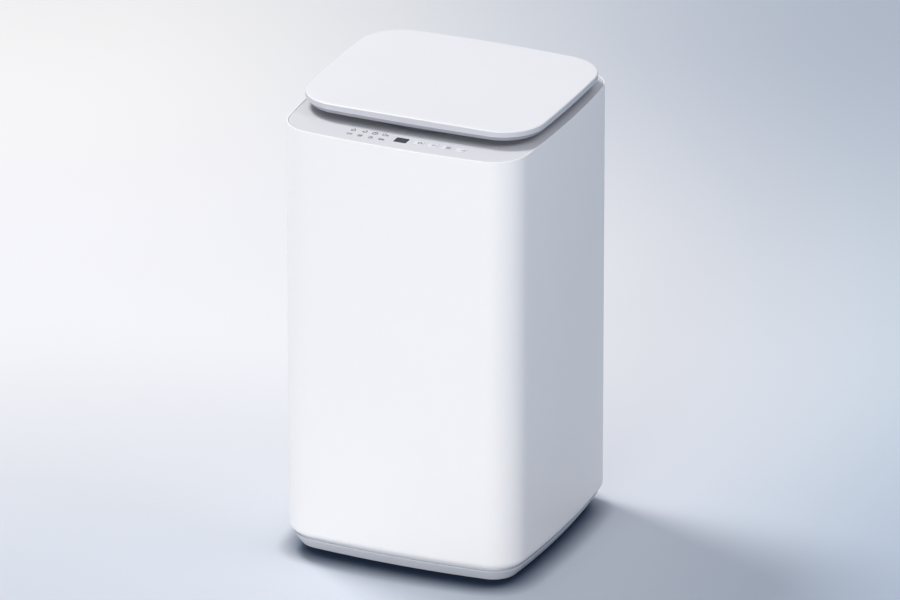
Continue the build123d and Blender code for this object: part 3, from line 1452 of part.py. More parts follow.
actuator_x = -actuator_setback - actuator_width / 2
rod_start_x = actuator_x + traction_inset
arm_z = valve_z + traction_rod_radius + working_gap
with BuildPart() as traction_rod:
    with BuildSketch(Plane.YZ.offset(rod_start_x)):
        with Locations((drain_y, valve_z)):
            Circle(traction_rod_radius)
    extrude(amount=plunger_x - rod_start_x)
    with BuildSketch(Plane((0, drain_y, valve_z))):
        Circle(arm_pin_radius)
    extrude(amount=arm_z - valve_z + arm_thickness)
traction_rod.part.label = "traction_rod"
export_step(traction_rod.part, "parts/traction_rod.step")

with BuildPart() as traction_motor:
    with BuildSketch(Plane((actuator_x, drain_y, plate_z))):
        RectangleRounded(actuator_width, actuator_depth, actuator_corner)
    extrude(amount=-actuator_height)
    with BuildSketch(Plane.YZ.offset(actuator_x)):
        with Locations((drain_y, valve_z)):
            Circle(traction_rod_radius + running_gap)
    extrude(amount=actuator_width / 2, mode=Mode.SUBTRACT)
traction_motor.part.label = "traction_motor"
export_step(traction_motor.part, "parts/traction_motor.step")

# Clutch lever: a spindle beside the clutch housing, an arm on the rod's pin and a fork at the sleeve
fork_z = spin_tube_bottom + 2.5 * working_gap + sleeve_height / 3
arm_reach = drain_y - spindle_y
finger_reach = spindle_y - tub_y - sleeve_radius - working_gap
with BuildPart() as clutch_lever:
    with BuildSketch(Plane((0, spindle_y, fork_z))):
        Circle(spindle_radius)
    extrude(amount=boss_places[1] + boss_height + working_gap - fork_z)
    with BuildSketch(Plane((0, spindle_y, fork_z))):
        with Locations((0, -finger_reach / 2)):
            Rectangle(2 * spindle_radius, finger_reach)
    extrude(amount=sleeve_height / 3 - working_gap)
    with BuildSketch(Plane((0, spindle_y, arm_z))):
        Circle(spindle_radius + spindle_collar)
        with Locations((0, (arm_reach + arm_tip) / 2)):
            Rectangle(arm_width, arm_reach + arm_tip)
        with Locations((0, arm_reach)):
            SlotOverall(arm_slot, 2 * (arm_pin_radius + soft_gap), rotation=90, mode=Mode.SUBTRACT)
    extrude(amount=arm_thickness)
clutch_lever.part.label = "clutch_lever"
export_step(clutch_lever.part, "parts/clutch_lever.step")

# Bellows between the valve and the elbow
fold = (valve_end_z - bellows_low_z) / bellows_folds
bellows_axis = Axis((drain_x, drain_y, 0), (0, 0, 1))
bellows_points = []
for i in range(bellows_folds):
    bellows_points.append((drain_x + hose_radius, bellows_low_z + i * fold))
    bellows_points.append((drain_x + hose_radius + fold_depth, bellows_low_z + (i + 0.5) * fold))
bellows_points.append((drain_x + hose_radius, valve_end_z))
bellows_inside = [(x - bellows_wall, z) for x, z in reversed(bellows_points)]
with BuildPart() as drain_bellows:
    with BuildSketch(Plane.XZ.offset(-drain_y)):
        with BuildLine():
            Polyline(*bellows_points, *bellows_inside, close=True)
        make_face()
    revolve(axis=bellows_axis)
drain_bellows.part.label = "drain_bellows"
export_step(drain_bellows.part, "parts/drain_bellows.step")
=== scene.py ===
import math

import bmesh
import bpy
from mathutils import Matrix, Vector


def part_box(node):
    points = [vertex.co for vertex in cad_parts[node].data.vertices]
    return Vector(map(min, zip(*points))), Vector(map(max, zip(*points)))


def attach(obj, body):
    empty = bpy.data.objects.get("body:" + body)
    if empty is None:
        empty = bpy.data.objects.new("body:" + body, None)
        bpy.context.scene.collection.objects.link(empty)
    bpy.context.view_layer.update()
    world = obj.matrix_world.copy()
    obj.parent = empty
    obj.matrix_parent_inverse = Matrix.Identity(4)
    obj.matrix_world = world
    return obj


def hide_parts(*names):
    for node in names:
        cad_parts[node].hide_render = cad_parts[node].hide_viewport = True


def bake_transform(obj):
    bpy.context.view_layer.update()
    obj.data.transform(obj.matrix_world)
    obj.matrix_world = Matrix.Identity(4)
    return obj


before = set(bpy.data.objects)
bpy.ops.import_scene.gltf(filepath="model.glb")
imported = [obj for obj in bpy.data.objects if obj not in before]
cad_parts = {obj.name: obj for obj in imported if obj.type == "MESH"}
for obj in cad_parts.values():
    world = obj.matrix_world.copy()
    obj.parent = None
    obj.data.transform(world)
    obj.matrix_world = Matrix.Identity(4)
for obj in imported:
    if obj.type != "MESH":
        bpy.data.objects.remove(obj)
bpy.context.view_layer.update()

mm = 0.001  # lengths below are millimetres, and become metres where a mesh is made


def toLinear(hexColor):
    shares = [int(hexColor[i:i + 2], 16) / 255 for i in (1, 3, 5)]
    return [s / 12.92 if s <= 0.04045 else ((s + 0.055) / 1.055) ** 2.4 for s in shares] + [1.0]


def addNode(tree, kind, inputs=None, **settings):
    # a node given as an input stands for its first output in use
    node = tree.nodes.new(kind)
    for name, value in settings.items():
        setattr(node, name, value)
    for name, value in (inputs or {}).items():
        if isinstance(value, bpy.types.Node):
            value = next(output for output in value.outputs if output.enabled)
        if isinstance(value, bpy.types.NodeSocket):
            tree.links.new(value, node.inputs[name])
        else:
            node.inputs[name].default_value = value
    return node


def boxOf(node):
    return [[v / mm for v in corner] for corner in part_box(node)]


# Materials: a recipe adds the nodes of its shader to the tree and returns the shader

def finishMaterial(name, recipe, values):
    material = bpy.data.materials.new(name)
    material.use_nodes = True
    tree = material.node_tree
    tree.nodes.clear()
    spot = addNode(tree, "ShaderNodeTexCoord").outputs["Object"]
    addNode(tree, "ShaderNodeOutputMaterial", {"Surface": recipe(tree, spot, values)})
    return material


def mouldedPlastic(tree, spot, values):
    # spark-eroded mould texture as a fine bump, slow drift of tone and gloss over the surface, and, where a shade
    # reach is given, painted shade: the colour darkens toward a shade colour in crevices and under parts
    grain = addNode(tree, "ShaderNodeTexNoise", {
        "Vector": spot, "Scale": 1 / (values["grainSize"] * mm), "Detail": 3.0, "Roughness": 0.55})
    drift = addNode(tree, "ShaderNodeTexNoise", {
        "Vector": spot, "Scale": 1 / (values["driftSize"] * mm), "Detail": 2.0})
    tone = addNode(tree, "ShaderNodeMix", {
        "Factor": drift, "A": toLinear(values["color"]), "B": toLinear(values["tone"])}, data_type="RGBA")
    # painted shade: ambient occlusion within the reach darkens the colour toward the shade colour, as if shadowed
    if "crevice" in values:
        near = addNode(tree, "ShaderNodeAmbientOcclusion", {"Distance": values["crevice"] * mm}, samples=12)
        paintedShadeShare = addNode(tree, "ShaderNodeMapRange", {
            "Value": near.outputs["AO"], "From Min": 0.3, "From Max": 0.9,
            "To Min": 1.0, "To Max": 0.0})
        tone = addNode(tree, "ShaderNodeMix", {
            "Factor": paintedShadeShare, "A": tone, "B": toLinear(values["creviceColor"])}, data_type="RGBA")
    gloss = addNode(tree, "ShaderNodeMapRange", {
        "Value": grain, "From Min": 0.3, "From Max": 0.7,
        "To Min": values["roughness"] - 0.04, "To Max": values["roughness"] + 0.04})
    bump = addNode(tree, "ShaderNodeBump", {
        "Height": grain, "Strength": values["grainStrength"], "Distance": values["grainDepth"] * mm})
    return addNode(tree, "ShaderNodeBsdfPrincipled", {
        "Base Color": tone, "Roughness": gloss, "Normal": bump, "IOR": values["ior"],
        "Coat Weight": values.get("coat", 0.0), "Coat Roughness": 0.25,
        "Subsurface Weight": values.get("depth", 0.0), "Subsurface Scale": 2 * mm,
        "Sheen Weight": values.get("sheen", 0.0), "Sheen Roughness": 0.5})


def workedMetal(tree, spot, values):
    # tool marks as noise drawn out along one direction; a casting has the same noise undrawn
    stretch = addNode(tree, "ShaderNodeMapping", {
        "Vector": spot, "Scale": [1 / (size * mm) for size in values["markSize"]]})
    marks = addNode(tree, "ShaderNodeTexNoise", {
        "Vector": stretch, "Scale": 1.0, "Detail": 4.0, "Roughness": 0.6})
    stain = addNode(tree, "ShaderNodeTexNoise", {
        "Vector": spot, "Scale": 1 / (values["stainSize"] * mm), "Detail": 3.0})
    tone = addNode(tree, "ShaderNodeMix", {
        "Factor": stain, "A": toLinear(values["color"]), "B": toLinear(values["tone"])}, data_type="RGBA")
    gloss = addNode(tree, "ShaderNodeMapRange", {
        "Value": marks, "From Min": 0.25, "From Max": 0.75,
        "To Min": values["roughness"] - 0.07, "To Max": values["roughness"] + 0.07})
    bump = addNode(tree, "ShaderNodeBump", {
        "Height": marks, "Strength": values["markStrength"], "Distance": values["markDepth"] * mm})
    return addNode(tree, "ShaderNodeBsdfPrincipled", {
        "Base Color": tone, "Metallic": 1.0, "Roughness": gloss, "Normal": bump})


def polishedAcrylic(tree, spot, values):
    haze = addNode(tree, "ShaderNodeTexNoise", {
        "Vector": spot, "Scale": 1 / (values["hazeSize"] * mm), "Detail": 4.0})
    tone = addNode(tree, "ShaderNodeMix", {
        "Factor": haze, "A": toLinear(values["color"]), "B": toLinear(values["haze"])}, data_type="RGBA")
    gloss = addNode(tree, "ShaderNodeMapRange", {
        "Value": haze, "To Min": values["roughness"] - 0.03, "To Max": values["roughness"] + 0.08})
    return addNode(tree, "ShaderNodeBsdfPrincipled", {
        "Base Color": tone, "Roughness": gloss, "IOR": 1.49, "Coat Weight": 0.6, "Coat Roughness": 0.05})


def woundWire(tree, spot, values):
    bandsPerScale = 0.314  # Wave Texture: 20 bands in 2 pi units at scale 1
    turns = addNode(tree, "ShaderNodeTexWave", {
        "Vector": spot, "Scale": bandsPerScale / (values["wire"] * mm), "Distortion": 0.6, "Detail": 1.0},
        wave_type="BANDS", bands_direction="Z").outputs["Fac"]
    tone = addNode(tree, "ShaderNodeMix", {
        "Factor": turns, "A": toLinear(values["tone"]), "B": toLinear(values["color"])}, data_type="RGBA")
    bump = addNode(tree, "ShaderNodeBump", {"Height": turns, "Strength": 0.5, "Distance": 0.3 * mm})
    return addNode(tree, "ShaderNodeBsdfPrincipled", {
        "Base Color": tone, "Metallic": 1.0, "Roughness": values["roughness"], "Normal": bump,
        "Coat Weight": 0.5, "Coat Roughness": 0.15})


def tracedBoard(tree, spot, values):
    cells = addNode(tree, "ShaderNodeTexVoronoi", {
        "Vector": spot, "Scale": 1 / (values["pitch"] * mm), "Randomness": 0.85},
        distance="MANHATTAN", feature="F1")
    edge = addNode(tree, "ShaderNodeMapRange", {"Value": cells, "From Min": 0.34, "From Max": 0.4})
    tone = addNode(tree, "ShaderNodeMix", {
        "Factor": edge, "A": toLinear(values["mask"]), "B": toLinear(values["track"])}, data_type="RGBA")
    bump = addNode(tree, "ShaderNodeBump", {"Height": edge, "Strength": 0.3, "Distance": 0.05 * mm})
    return addNode(tree, "ShaderNodeBsdfPrincipled", {
        "Base Color": tone, "Roughness": values["roughness"], "Normal": bump, "IOR": 1.55,
        "Coat Weight": 0.3, "Coat Roughness": 0.1})


# The real mould texture is about 0.1 mm; it is drawn at 1 mm or more so that it shows at all.
# white ABS, injection moulded with a fine satin texture: soft wide highlights, slightly cool white
moldedWhiteAbs = finishMaterial("moldedWhiteAbs", mouldedPlastic, dict(
    color="#F6F6F7", tone="#F3F4F5", grainSize=1.1, driftSize=160, roughness=0.42, grainStrength=0.05,
    grainDepth=0.05, ior=1.53, coat=0.04, depth=0.02))
# the lid's white ABS, a touch smoother than the cabinet: a calmer, even sheen over the crown
satinLidAbs = finishMaterial("satinLidAbs", mouldedPlastic, dict(
    color="#E7E8EB", tone="#E4E5E9", grainSize=1.0, driftSize=140, roughness=0.38, grainStrength=0.04,
    grainDepth=0.05, ior=1.53, coat=0.06, depth=0.02))
# painted shade: light grey ABS, a darker copy of the lid white given to the sideways band round the lid, matt, a
# clear step darker than the white above it
paintedShadeSideAbs = finishMaterial("paintedShadeSideAbs", mouldedPlastic, dict(
    color="#CCCFD6", tone="#C8CBD3", grainSize=1.0, driftSize=90, roughness=0.48, grainStrength=0.05,
    grainDepth=0.05, ior=1.53))
# grey ABS lid liner: matt underside of the floating lid, its grey darkened as painted shade for the shadow under
# the lid, with painted shade in its crevices
linerGreyAbs = finishMaterial("linerGreyAbs", mouldedPlastic, dict(
    color="#A7ABB5", tone="#A1A5B0", grainSize=1.2, driftSize=110, roughness=0.52, grainStrength=0.07,
    grainDepth=0.06, ior=1.53, crevice=12, creviceColor="#6A707E"))
# the same grey ABS round the mouth, set back under the lid where hardly any light gets in: painted shade, a darker
# grey than the deck and darker still in its crevices
collarGreyAbs = finishMaterial("collarGreyAbs", mouldedPlastic, dict(
    color="#B9BCC4", tone="#B3B7BF", grainSize=1.0, driftSize=80, roughness=0.52, grainStrength=0.06,
    grainDepth=0.05, ior=1.53, crevice=26, creviceColor="#434957"))
# pale grey ABS deck with a fine even texture: soft, no sharp reflections; painted shade darkens it in the gap under
# the lid and beside nearby parts
deckGreyAbs = finishMaterial("deckGreyAbs", mouldedPlastic, dict(
    color="#D9DADE", tone="#D5D7DC", grainSize=1.0, driftSize=120, roughness=0.5, grainStrength=0.06,
    grainDepth=0.05, ior=1.53, crevice=11, creviceColor="#737A8A"))
# grey polypropylene plinth and rear panel: duller and a little waxy
plinthGreyPolypropylene = finishMaterial("plinthGreyPolypropylene", mouldedPlastic, dict(
    color="#CED1D7", tone="#C7CBD2", grainSize=1.4, driftSize=130, roughness=0.55, grainStrength=0.09,
    grainDepth=0.07, ior=1.49, depth=0.03))
# key caps of light ABS: smoother than the deck from use
keyAbs = finishMaterial("keyAbs", mouldedPlastic, dict(
    color="#E9EBEF", tone="#E5E7EC", grainSize=0.8, driftSize=40, roughness=0.36, grainStrength=0.03,
    grainDepth=0.03, ior=1.53, coat=0.08))
# pad-printed grey ink: flat and matt on the satin plastic
printedGreyInk = finishMaterial("printedGreyInk", mouldedPlastic, dict(
    color="#666B76", tone="#5F646F", grainSize=0.6, driftSize=12, roughness=0.6, grainStrength=0.03,
    grainDepth=0.02, ior=1.5))
# moulded polypropylene of the tub: milky, slightly see-into, semi-matt
tubPolypropylene = finishMaterial("tubPolypropylene", mouldedPlastic, dict(
    color="#DDE0E2", tone="#D3D7DB", grainSize=1.6, driftSize=90, roughness=0.47, grainStrength=0.08,
    grainDepth=0.08, ior=1.49, depth=0.06))
# uncoloured polypropylene of inner fittings: a warmer, duller white
innerPolypropylene = finishMaterial("innerPolypropylene", mouldedPlastic, dict(
    color="#D6D6D0", tone="#CACAC3", grainSize=1.5, driftSize=40, roughness=0.55, grainStrength=0.1,
    grainDepth=0.08, ior=1.49, depth=0.05))
# blue-tinted polypropylene of the agitator and brush holders: clean, a little glossy when wet
brushPolypropylene = finishMaterial("brushPolypropylene", mouldedPlastic, dict(
    color="#A9C6DC", tone="#9DBDD6", grainSize=1.2, driftSize=50, roughness=0.33, grainStrength=0.05,
    grainDepth=0.05, ior=1.49, coat=0.12, depth=0.05))
# glass-filled polyamide, near black, with the mottled matt skin such parts have
blackPolyamide = finishMaterial("blackPolyamide", mouldedPlastic, dict(
    color="#26272A", tone="#2F3033", grainSize=1.3, driftSize=16, roughness=0.58, grainStrength=0.16,
    grainDepth=0.08, ior=1.53))
# nylon filament: pale, faintly translucent, soft glint along each strand
nylonFilament = finishMaterial("nylonFilament", mouldedPlastic, dict(
    color="#EEF3F7", tone="#DCE6EE", grainSize=2.5, driftSize=9, roughness=0.4, grainStrength=0.02,
    grainDepth=0.02, ior=1.53, depth=0.12, sheen=0.1))
# nitrile rubber of feet and bumpers: black-grey, dusty and very matt
nitrileRubber = finishMaterial("nitrileRubber", mouldedPlastic, dict(
    color="#2B2C2E", tone="#38393B", grainSize=1.8, driftSize=22, roughness=0.82, grainStrength=0.22,
    grainDepth=0.12, ior=1.52, sheen=0.08))
# belt and bellows rubber: darker, with a faint talc bloom
moldedBellowsRubber = finishMaterial("moldedBellowsRubber", mouldedPlastic, dict(
    color="#1D1E20", tone="#2A2B2D", grainSize=1.4, driftSize=14, roughness=0.74, grainStrength=0.18,
    grainDepth=0.1, ior=1.52, sheen=0.06))

# stainless drum sheet, rolled: bright, with fine marks that run round the drum
rolledStainless = finishMaterial("rolledStainless", workedMetal, dict(
    color="#E4E5E6", tone="#DCDDDF", markSize=(34, 34, 0.9), stainSize=60, roughness=0.33,
    markStrength=0.08, markDepth=0.02))
# ground carbon steel of shafts and pins: tight bright rings
groundSteel = finishMaterial("groundSteel", workedMetal, dict(
    color="#BFC1C4", tone="#AFB1B5", markSize=(12, 12, 0.5), stainSize=18, roughness=0.28,
    markStrength=0.14, markDepth=0.02))
# oiled spring and bearing steel: darker, with a brownish cast
oiledSpringSteel = finishMaterial("oiledSpringSteel", workedMetal, dict(
    color="#8C8B8A", tone="#77746F", markSize=(6, 6, 2), stainSize=12, roughness=0.38,
    markStrength=0.1, markDepth=0.03))
# zinc-plated pressing: cloudy grey with a cool bluish bloom
zincPlatedSteel = finishMaterial("zincPlatedSteel", workedMetal, dict(
    color="#B4B9BE", tone="#A2A8AF", markSize=(5, 5, 5), stainSize=14, roughness=0.43,
    markStrength=0.12, markDepth=0.04))
# die-cast aluminium: grainy, dull silver
dieCastAluminium = finishMaterial("dieCastAluminium", workedMetal, dict(
    color="#B9BABC", tone="#A6A8AA", markSize=(1.6, 1.6, 1.6), stainSize=25, roughness=0.5,
    markStrength=0.3, markDepth=0.08))


# polished tinted acrylic: near black, one clear sharp reflection, faint haze from wiping
smokedAcrylic = finishMaterial("smokedAcrylic", polishedAcrylic, dict(
    color="#14171B", haze="#20252B", hazeSize=7, roughness=0.07))
# copper wire wound in layers: rows of thin turns, amber enamel over metal
# The wire is drawn about twice as thick as it is, so that it shows.
enamelledCopper = finishMaterial("enamelledCopper", woundWire, dict(
    color="#B06B3A", tone="#7E4420", wire=1.2, roughness=0.32))
# epoxy board under green solder mask: lighter tracks in a square maze over a dark ground
coatedCircuitBoard = finishMaterial("coatedCircuitBoard", tracedBoard, dict(
    mask="#1C5133", track="#2F7A4E", pitch=2.6, roughness=0.35))
print("materials made:", len(bpy.data.materials))


# Mesh tools

def linkObject(name, data):
    thing = bpy.data.objects.new(name, data)
    bpy.context.scene.collection.objects.link(thing)
    return thing


def shadeSmooth(mesh, sharp=30):
    mesh.shade_smooth()
    mesh.set_sharp_from_angle(angle=math.radians(sharp))


def editMesh(mesh, edit):
    work = bmesh.new()
    work.from_mesh(mesh)
    edit(work)
    work.to_mesh(mesh)
    work.free()


def weld(work, gap):
    bmesh.ops.remove_doubles(work, verts=work.verts, dist=gap)


def makePiece(name, points, faces, material, sharp=30):
    def clean(work):
        weld(work, 1e-7)
        bmesh.ops.dissolve_degenerate(work, edges=work.edges, dist=1e-8)
        bmesh.ops.recalc_face_normals(work, faces=work.faces)

    mesh = bpy.data.meshes.new(name)
    mesh.from_pydata([(x * mm, y * mm, z * mm) for x, y, z in points], [], faces)
    editMesh(mesh, clean)
    mesh.materials.append(material)
    shadeSmooth(mesh, sharp)
    return linkObject(name, mesh)


def takeResult(piece, sharp=30):
    # the evaluated shape becomes the piece's own plain mesh
    graph = bpy.context.evaluated_depsgraph_get()
    mesh = bpy.data.meshes.new_from_object(piece.evaluated_get(graph))
    piece.modifiers.clear()
    piece.data = mesh
    shadeSmooth(mesh, sharp)
    return piece


cutPast = 5  # a cutter reaches this far past what it cuts


def cutAway(piece, cutters, operation="DIFFERENCE"):
    for cutter in cutters:
        boolean = piece.modifiers.new("cut", "BOOLEAN")
        boolean.operation = operation
        boolean.solver = "EXACT"
        boolean.object = cutter
    takeResult(piece)
    for cutter in cutters:
        bpy.data.objects.remove(cutter)
    return piece


def joinInto(piece, others):
    editMesh(piece.data, lambda work: [work.from_mesh(other.data) for other in others])
    for other in others:
        bpy.data.objects.remove(other)
    shadeSmooth(piece.data)
    return piece


def loft(name, rings, material, closed=False, capped=False, sharp=30):
    count = len(rings[0])
    points = [point for ring in rings for point in ring]
    pairs = [(i, i + 1) for i in range(len(rings) - 1)] + ([(len(rings) - 1, 0)] if closed else [])
    faces = [(a * count + i, a * count + (i + 1) % count, b * count + (i + 1) % count, b * count + i)
             for a, b in pairs for i in range(count)]
    if capped:
        faces += [tuple(reversed(range(count))), tuple(range(len(points) - count, len(points)))]
    return makePiece(name, points, faces, material, sharp)


def prism(name, outline, low, high, material, axis="z"):
    # outline is drawn in XY for axis z, in XZ for y and in YZ for x
    turn = {"z": lambda a, b, c: (a, b, c), "y": lambda a, b, c: (a, c, b),
            "x": lambda a, b, c: (c, a, b)}[axis]
    return loft(name, [[turn(a, b, c) for a, b in outline] for c in (low, high)], material, capped=True)


def arc(x, y, radius, start, end, steps):
    # points from angle start to angle end, in radians
    angles = [start + (end - start) * k / steps for k in range(steps + 1)]
    return [(x + radius * math.cos(a), y + radius * math.sin(a)) for a in angles]


def circle(x, y, radius, steps):
    return arc(x, y, radius, 0, 2 * math.pi, steps)[:-1]


def turned(name, profile, center, material, steps=96, axis="z", sharp=30):
    # profile is a closed loop of (radius, height) round center
    rings = []
    for radius, height in profile:
        flat = circle(center[0], center[1], radius, steps)
        rings.append([(a, b, height) if axis == "z" else (a, height, b) for a, b in flat])
    return loft(name, rings, material, closed=True, sharp=sharp)


def filleted(corners, steps=6, hold=1.0, closed=True):
    # corners are (a, b, radius); hold adds a point just past each arc, which keeps flat walls flat in shading
    path = []
    count = len(corners)
    for i, (a, b, radius) in enumerate(corners):
        here = Vector((a, b))
        if radius == 0 or (not closed and i in (0, count - 1)):
            path.append(tuple(here))
            continue
        before = Vector(corners[i - 1][:2]) - here
        after = Vector(corners[(i + 1) % count][:2]) - here
        half = before.angle(after) / 2
        reach = radius / math.tan(half)
        start, end = here + before.normalized() * reach, here + after.normalized() * reach
        middle = here + (before.normalized() + after.normalized()).normalized() * radius / math.sin(half)
        first = math.atan2(start.y - middle.y, start.x - middle.x)
        sweep = math.atan2(end.y - middle.y, end.x - middle.x) - first
        sweep = (sweep + math.pi) % (2 * math.pi) - math.pi
        if before.length > reach + 2.5 * hold:
            path.append(tuple(start + before.normalized() * hold))
        path += arc(middle.x, middle.y, radius, first, first + sweep, steps)
        if after.length > reach + 2.5 * hold:
            path.append(tuple(end + after.normalized() * hold))
    return path


def roundedRect(x, y, width, depth, radius, steps=5):
    corners = [(x - width / 2, y - depth / 2), (x + width / 2, y - depth / 2),
               (x + width / 2, y + depth / 2), (x - width / 2, y + depth / 2)]
    return filleted([(a, b, radius) for a, b in corners], steps, hold=1000)


def softOutline(halfX, halfY, bulge, radius, centerY=0.0, arcSteps=8, cornerSteps=12):
    # a rounded square whose sides bow out by bulge, as four mirrored quarters
    cornerX, cornerY = halfX - bulge, halfY - bulge
    frontRadius = (cornerX ** 2 + bulge ** 2) / (2 * bulge)
    sideRadius = (cornerY ** 2 + bulge ** 2) / (2 * bulge)
    front, side = Vector((0, frontRadius - halfY)), Vector((halfX - sideRadius, 0))
    apart = side - front
    frontReach, sideReach = frontRadius - radius, sideRadius - radius
    along = (frontReach ** 2 - sideReach ** 2 + apart.length ** 2) / (2 * apart.length)
    across = math.sqrt(frontReach ** 2 - along ** 2)
    way = apart.normalized()
    ends = [front + way * along + Vector((-way.y, way.x)) * across * s for s in (-1, 1)]
    corner = max(ends, key=lambda p: p.x - p.y)
    toCorner = math.atan2(corner.y - front.y, corner.x - front.x)
    fromCorner = math.atan2(corner.y - side.y, corner.x - side.x)
    spans = [(front, frontRadius, -math.pi / 2, toCorner, arcSteps),
             (corner, radius, toCorner, fromCorner, cornerSteps), (side, sideRadius, fromCorner, 0.0, arcSteps)]
    quarter = [point for c, r, a, b, n in spans for point in arc(c.x, c.y, r, a, b, n)[:-1]] + [(halfX, 0.0)]
    ring = (quarter[:-1] + [(x, -y) for x, y in reversed(quarter)][:-1]
            + [(-x, -y) for x, y in quarter][:-1] + [(-x, y) for x, y in reversed(quarter)][:-1])
    return [(x, y + centerY) for x, y in ring]


def place(piece, body, slotName, *nodes):
    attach(piece, body)
    if nodes:
        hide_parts(*nodes)
    return piece


def nodeTree(name, sockets):
    tree = bpy.data.node_groups.new(name, "GeometryNodeTree")
    for label, kind in sockets:
        tree.interface.new_socket(name=label, in_out="INPUT", socket_type="NodeSocket" + kind)
    tree.interface.new_socket(name="Geometry", in_out="OUTPUT", socket_type="NodeSocketGeometry")
    return tree, tree.nodes.new("NodeGroupInput").outputs


def runTree(piece, tree, values):
    # inputs are set by each socket's identifier, before the object is first evaluated
    modifier = piece.modifiers.new(tree.name, "NODES")
    modifier.node_group = tree
    for item in tree.interface.items_tree:
        if item.in_out == "INPUT" and item.name in values:
            modifier[item.identifier] = values[item.name]
    return takeResult(piece)


# Stage, light and camera

stage = dict(floorSize=120.0, cameraSide=23.7, cameraRise=23.4, cameraAway=18.58, cameraFar=200,
             target=(0.006, 0.0, 0.3673), lens=505.4, sensor=36.0)


def aimed(data, name, where, target):
    holder = linkObject(name, data)
    holder.location = where
    holder.rotation_euler = (Vector(target) - Vector(where)).to_track_quat("-Z", "Y").to_euler()
    return holder


side, rise = math.radians(stage["cameraSide"]), math.radians(stage["cameraRise"])
toCamera = Vector((math.sin(side) * math.cos(rise), -math.cos(side) * math.cos(rise), math.sin(rise)))
cameraData = bpy.data.cameras.new("camera")
cameraData.lens = stage["lens"]
cameraData.sensor_width = stage["sensor"]
cameraData.clip_end = stage["cameraFar"]
bpy.context.scene.camera = aimed(cameraData, "camera", Vector(stage["target"]) + toCamera * stage["cameraAway"],
                                 stage["target"])
bpy.context.scene.view_settings.view_transform = "Standard"


def studioPaper(tree, spot, values):
    # seamless paper: matt, with painted light and shade washed across it and a painted soft blue contact shadow
    turn = addNode(tree, "ShaderNodeMapping", {"Vector": spot, "Rotation": (0.0, 0.0, -side)})
    parts = addNode(tree, "ShaderNodeSeparateXYZ", {"Vector": turn})

    def paintedLightWash(axis, span, first, second):
        share = addNode(tree, "ShaderNodeMapRange", {
            "Value": parts.outputs[axis], "From Min": span[0], "From Max": span[1]},
            interpolation_type="SMOOTHSTEP")
        return addNode(tree, "ShaderNodeMix", {
            "Factor": share, "A": first, "B": second}, data_type="RGBA")

    # painted light and shade: tones left and right, in front of the object, beside it and behind it, and the metres
    # they change over; lighter to the left and behind, darker and bluer to the right and in front
    fore, beside, rear = [paintedLightWash("X", span, toLinear(left), toLinear(right))
                          for left, right, span in (values["fore"], values["beside"], values["rear"])]
    tone = paintedLightWash("Y", values["behind"], paintedLightWash("Y", values["along"], fore, beside), rear)
    # painted shadow: the paper darkens to a blue where the object is near, within the reach
    near = addNode(tree, "ShaderNodeAmbientOcclusion", {"Distance": values["contactReach"] * mm}, samples=16)
    paintedShadowShare = addNode(tree, "ShaderNodeMapRange", {
        "Value": near.outputs["AO"], "From Min": 0.3, "From Max": 0.95,
        "To Min": 1.0, "To Max": 0.0})
    tone = addNode(tree, "ShaderNodeMix", {
        "Factor": paintedShadowShare, "A": tone, "B": toLinear(values["contactColor"])}, data_type="RGBA")
    return addNode(tree, "ShaderNodeBsdfPrincipled", {
        "Base Color": tone, "Roughness": 0.9, "Specular IOR Level": 0.1})


half = stage["floorSize"] / 2 / mm
paperFloor = finishMaterial("paperFloor", studioPaper, dict(
    fore=("#D7DEE8", "#B8C8DA", (0.15, 0.85)), beside=("#F5F6FB", "#D8E5F1", (0.15, 0.85)),
    rear=("#FFFFFF", "#CBD5E4", (-0.55, 0.75)), along=(-0.3, 0.75), behind=(0.85, 1.95),
    contactReach=42, contactColor="#41546F"))
floor = makePiece("floor", [(-half, -half, 0), (half, -half, 0), (half, half, 0), (-half, half, 0)],
                  [(0, 1, 2, 3)], paperFloor)

# the object is lit by glow; the camera and gloss see the backdrop's own tone instead
skyLight = dict(color="#E9EDF7", strength=0.365, seen="#D5DDE9")
world = bpy.data.worlds.new("studio")
world.use_nodes = True
sky = world.node_tree
sky.nodes.clear()
rays = addNode(sky, "ShaderNodeLightPath").outputs
glow = addNode(sky, "ShaderNodeBackground", {
    "Color": toLinear(skyLight["color"]), "Strength": skyLight["strength"]})
seen = addNode(sky, "ShaderNodeBackground", {"Color": toLinear(skyLight["seen"]), "Strength": 1.0})
plain = rays["Is Camera Ray"]
for ray in ("Is Glossy Ray", "Is Transmission Ray"):
    plain = addNode(sky, "ShaderNodeMath", {0: plain, 1: rays[ray]}, operation="MAXIMUM")
both = addNode(sky, "ShaderNodeMixShader", {"Fac": plain, 1: glow, 2: seen})
addNode(sky, "ShaderNodeOutputWorld", {"Surface": both})
bpy.context.scene.world = world

lamps = dict(
    key=dict(spot=(-2.0, 0.6, 4.0), aim=(0.0, 0.0, 0.4), size=1.2, power=106.0, color="#FFFCF8"),
    front=dict(spot=(0.3, -6.2, 1.5), aim=(0.0, 0.0, 0.4), size=3.4, power=211.0, color="#FFFAF5"),
    side=dict(spot=(1.25, -0.15, 1.9), aim=(0.1, 0.0, 0.6), size=0.7, power=6.0, color="#F6F6FF"),
)
for lampName, lamp in lamps.items():
    light = bpy.data.lights.new(lampName, "AREA")
    light.shape = "DISK"
    light.size = lamp["size"]
    light.energy = lamp["power"]
    light.color = toLinear(lamp["color"])[:3]
    aimed(light, lampName, lamp["spot"], lamp["aim"])
print("stage, light and camera set")


# Cabinet: one white wrap with a rounded lower edge and a thin wall at the rim

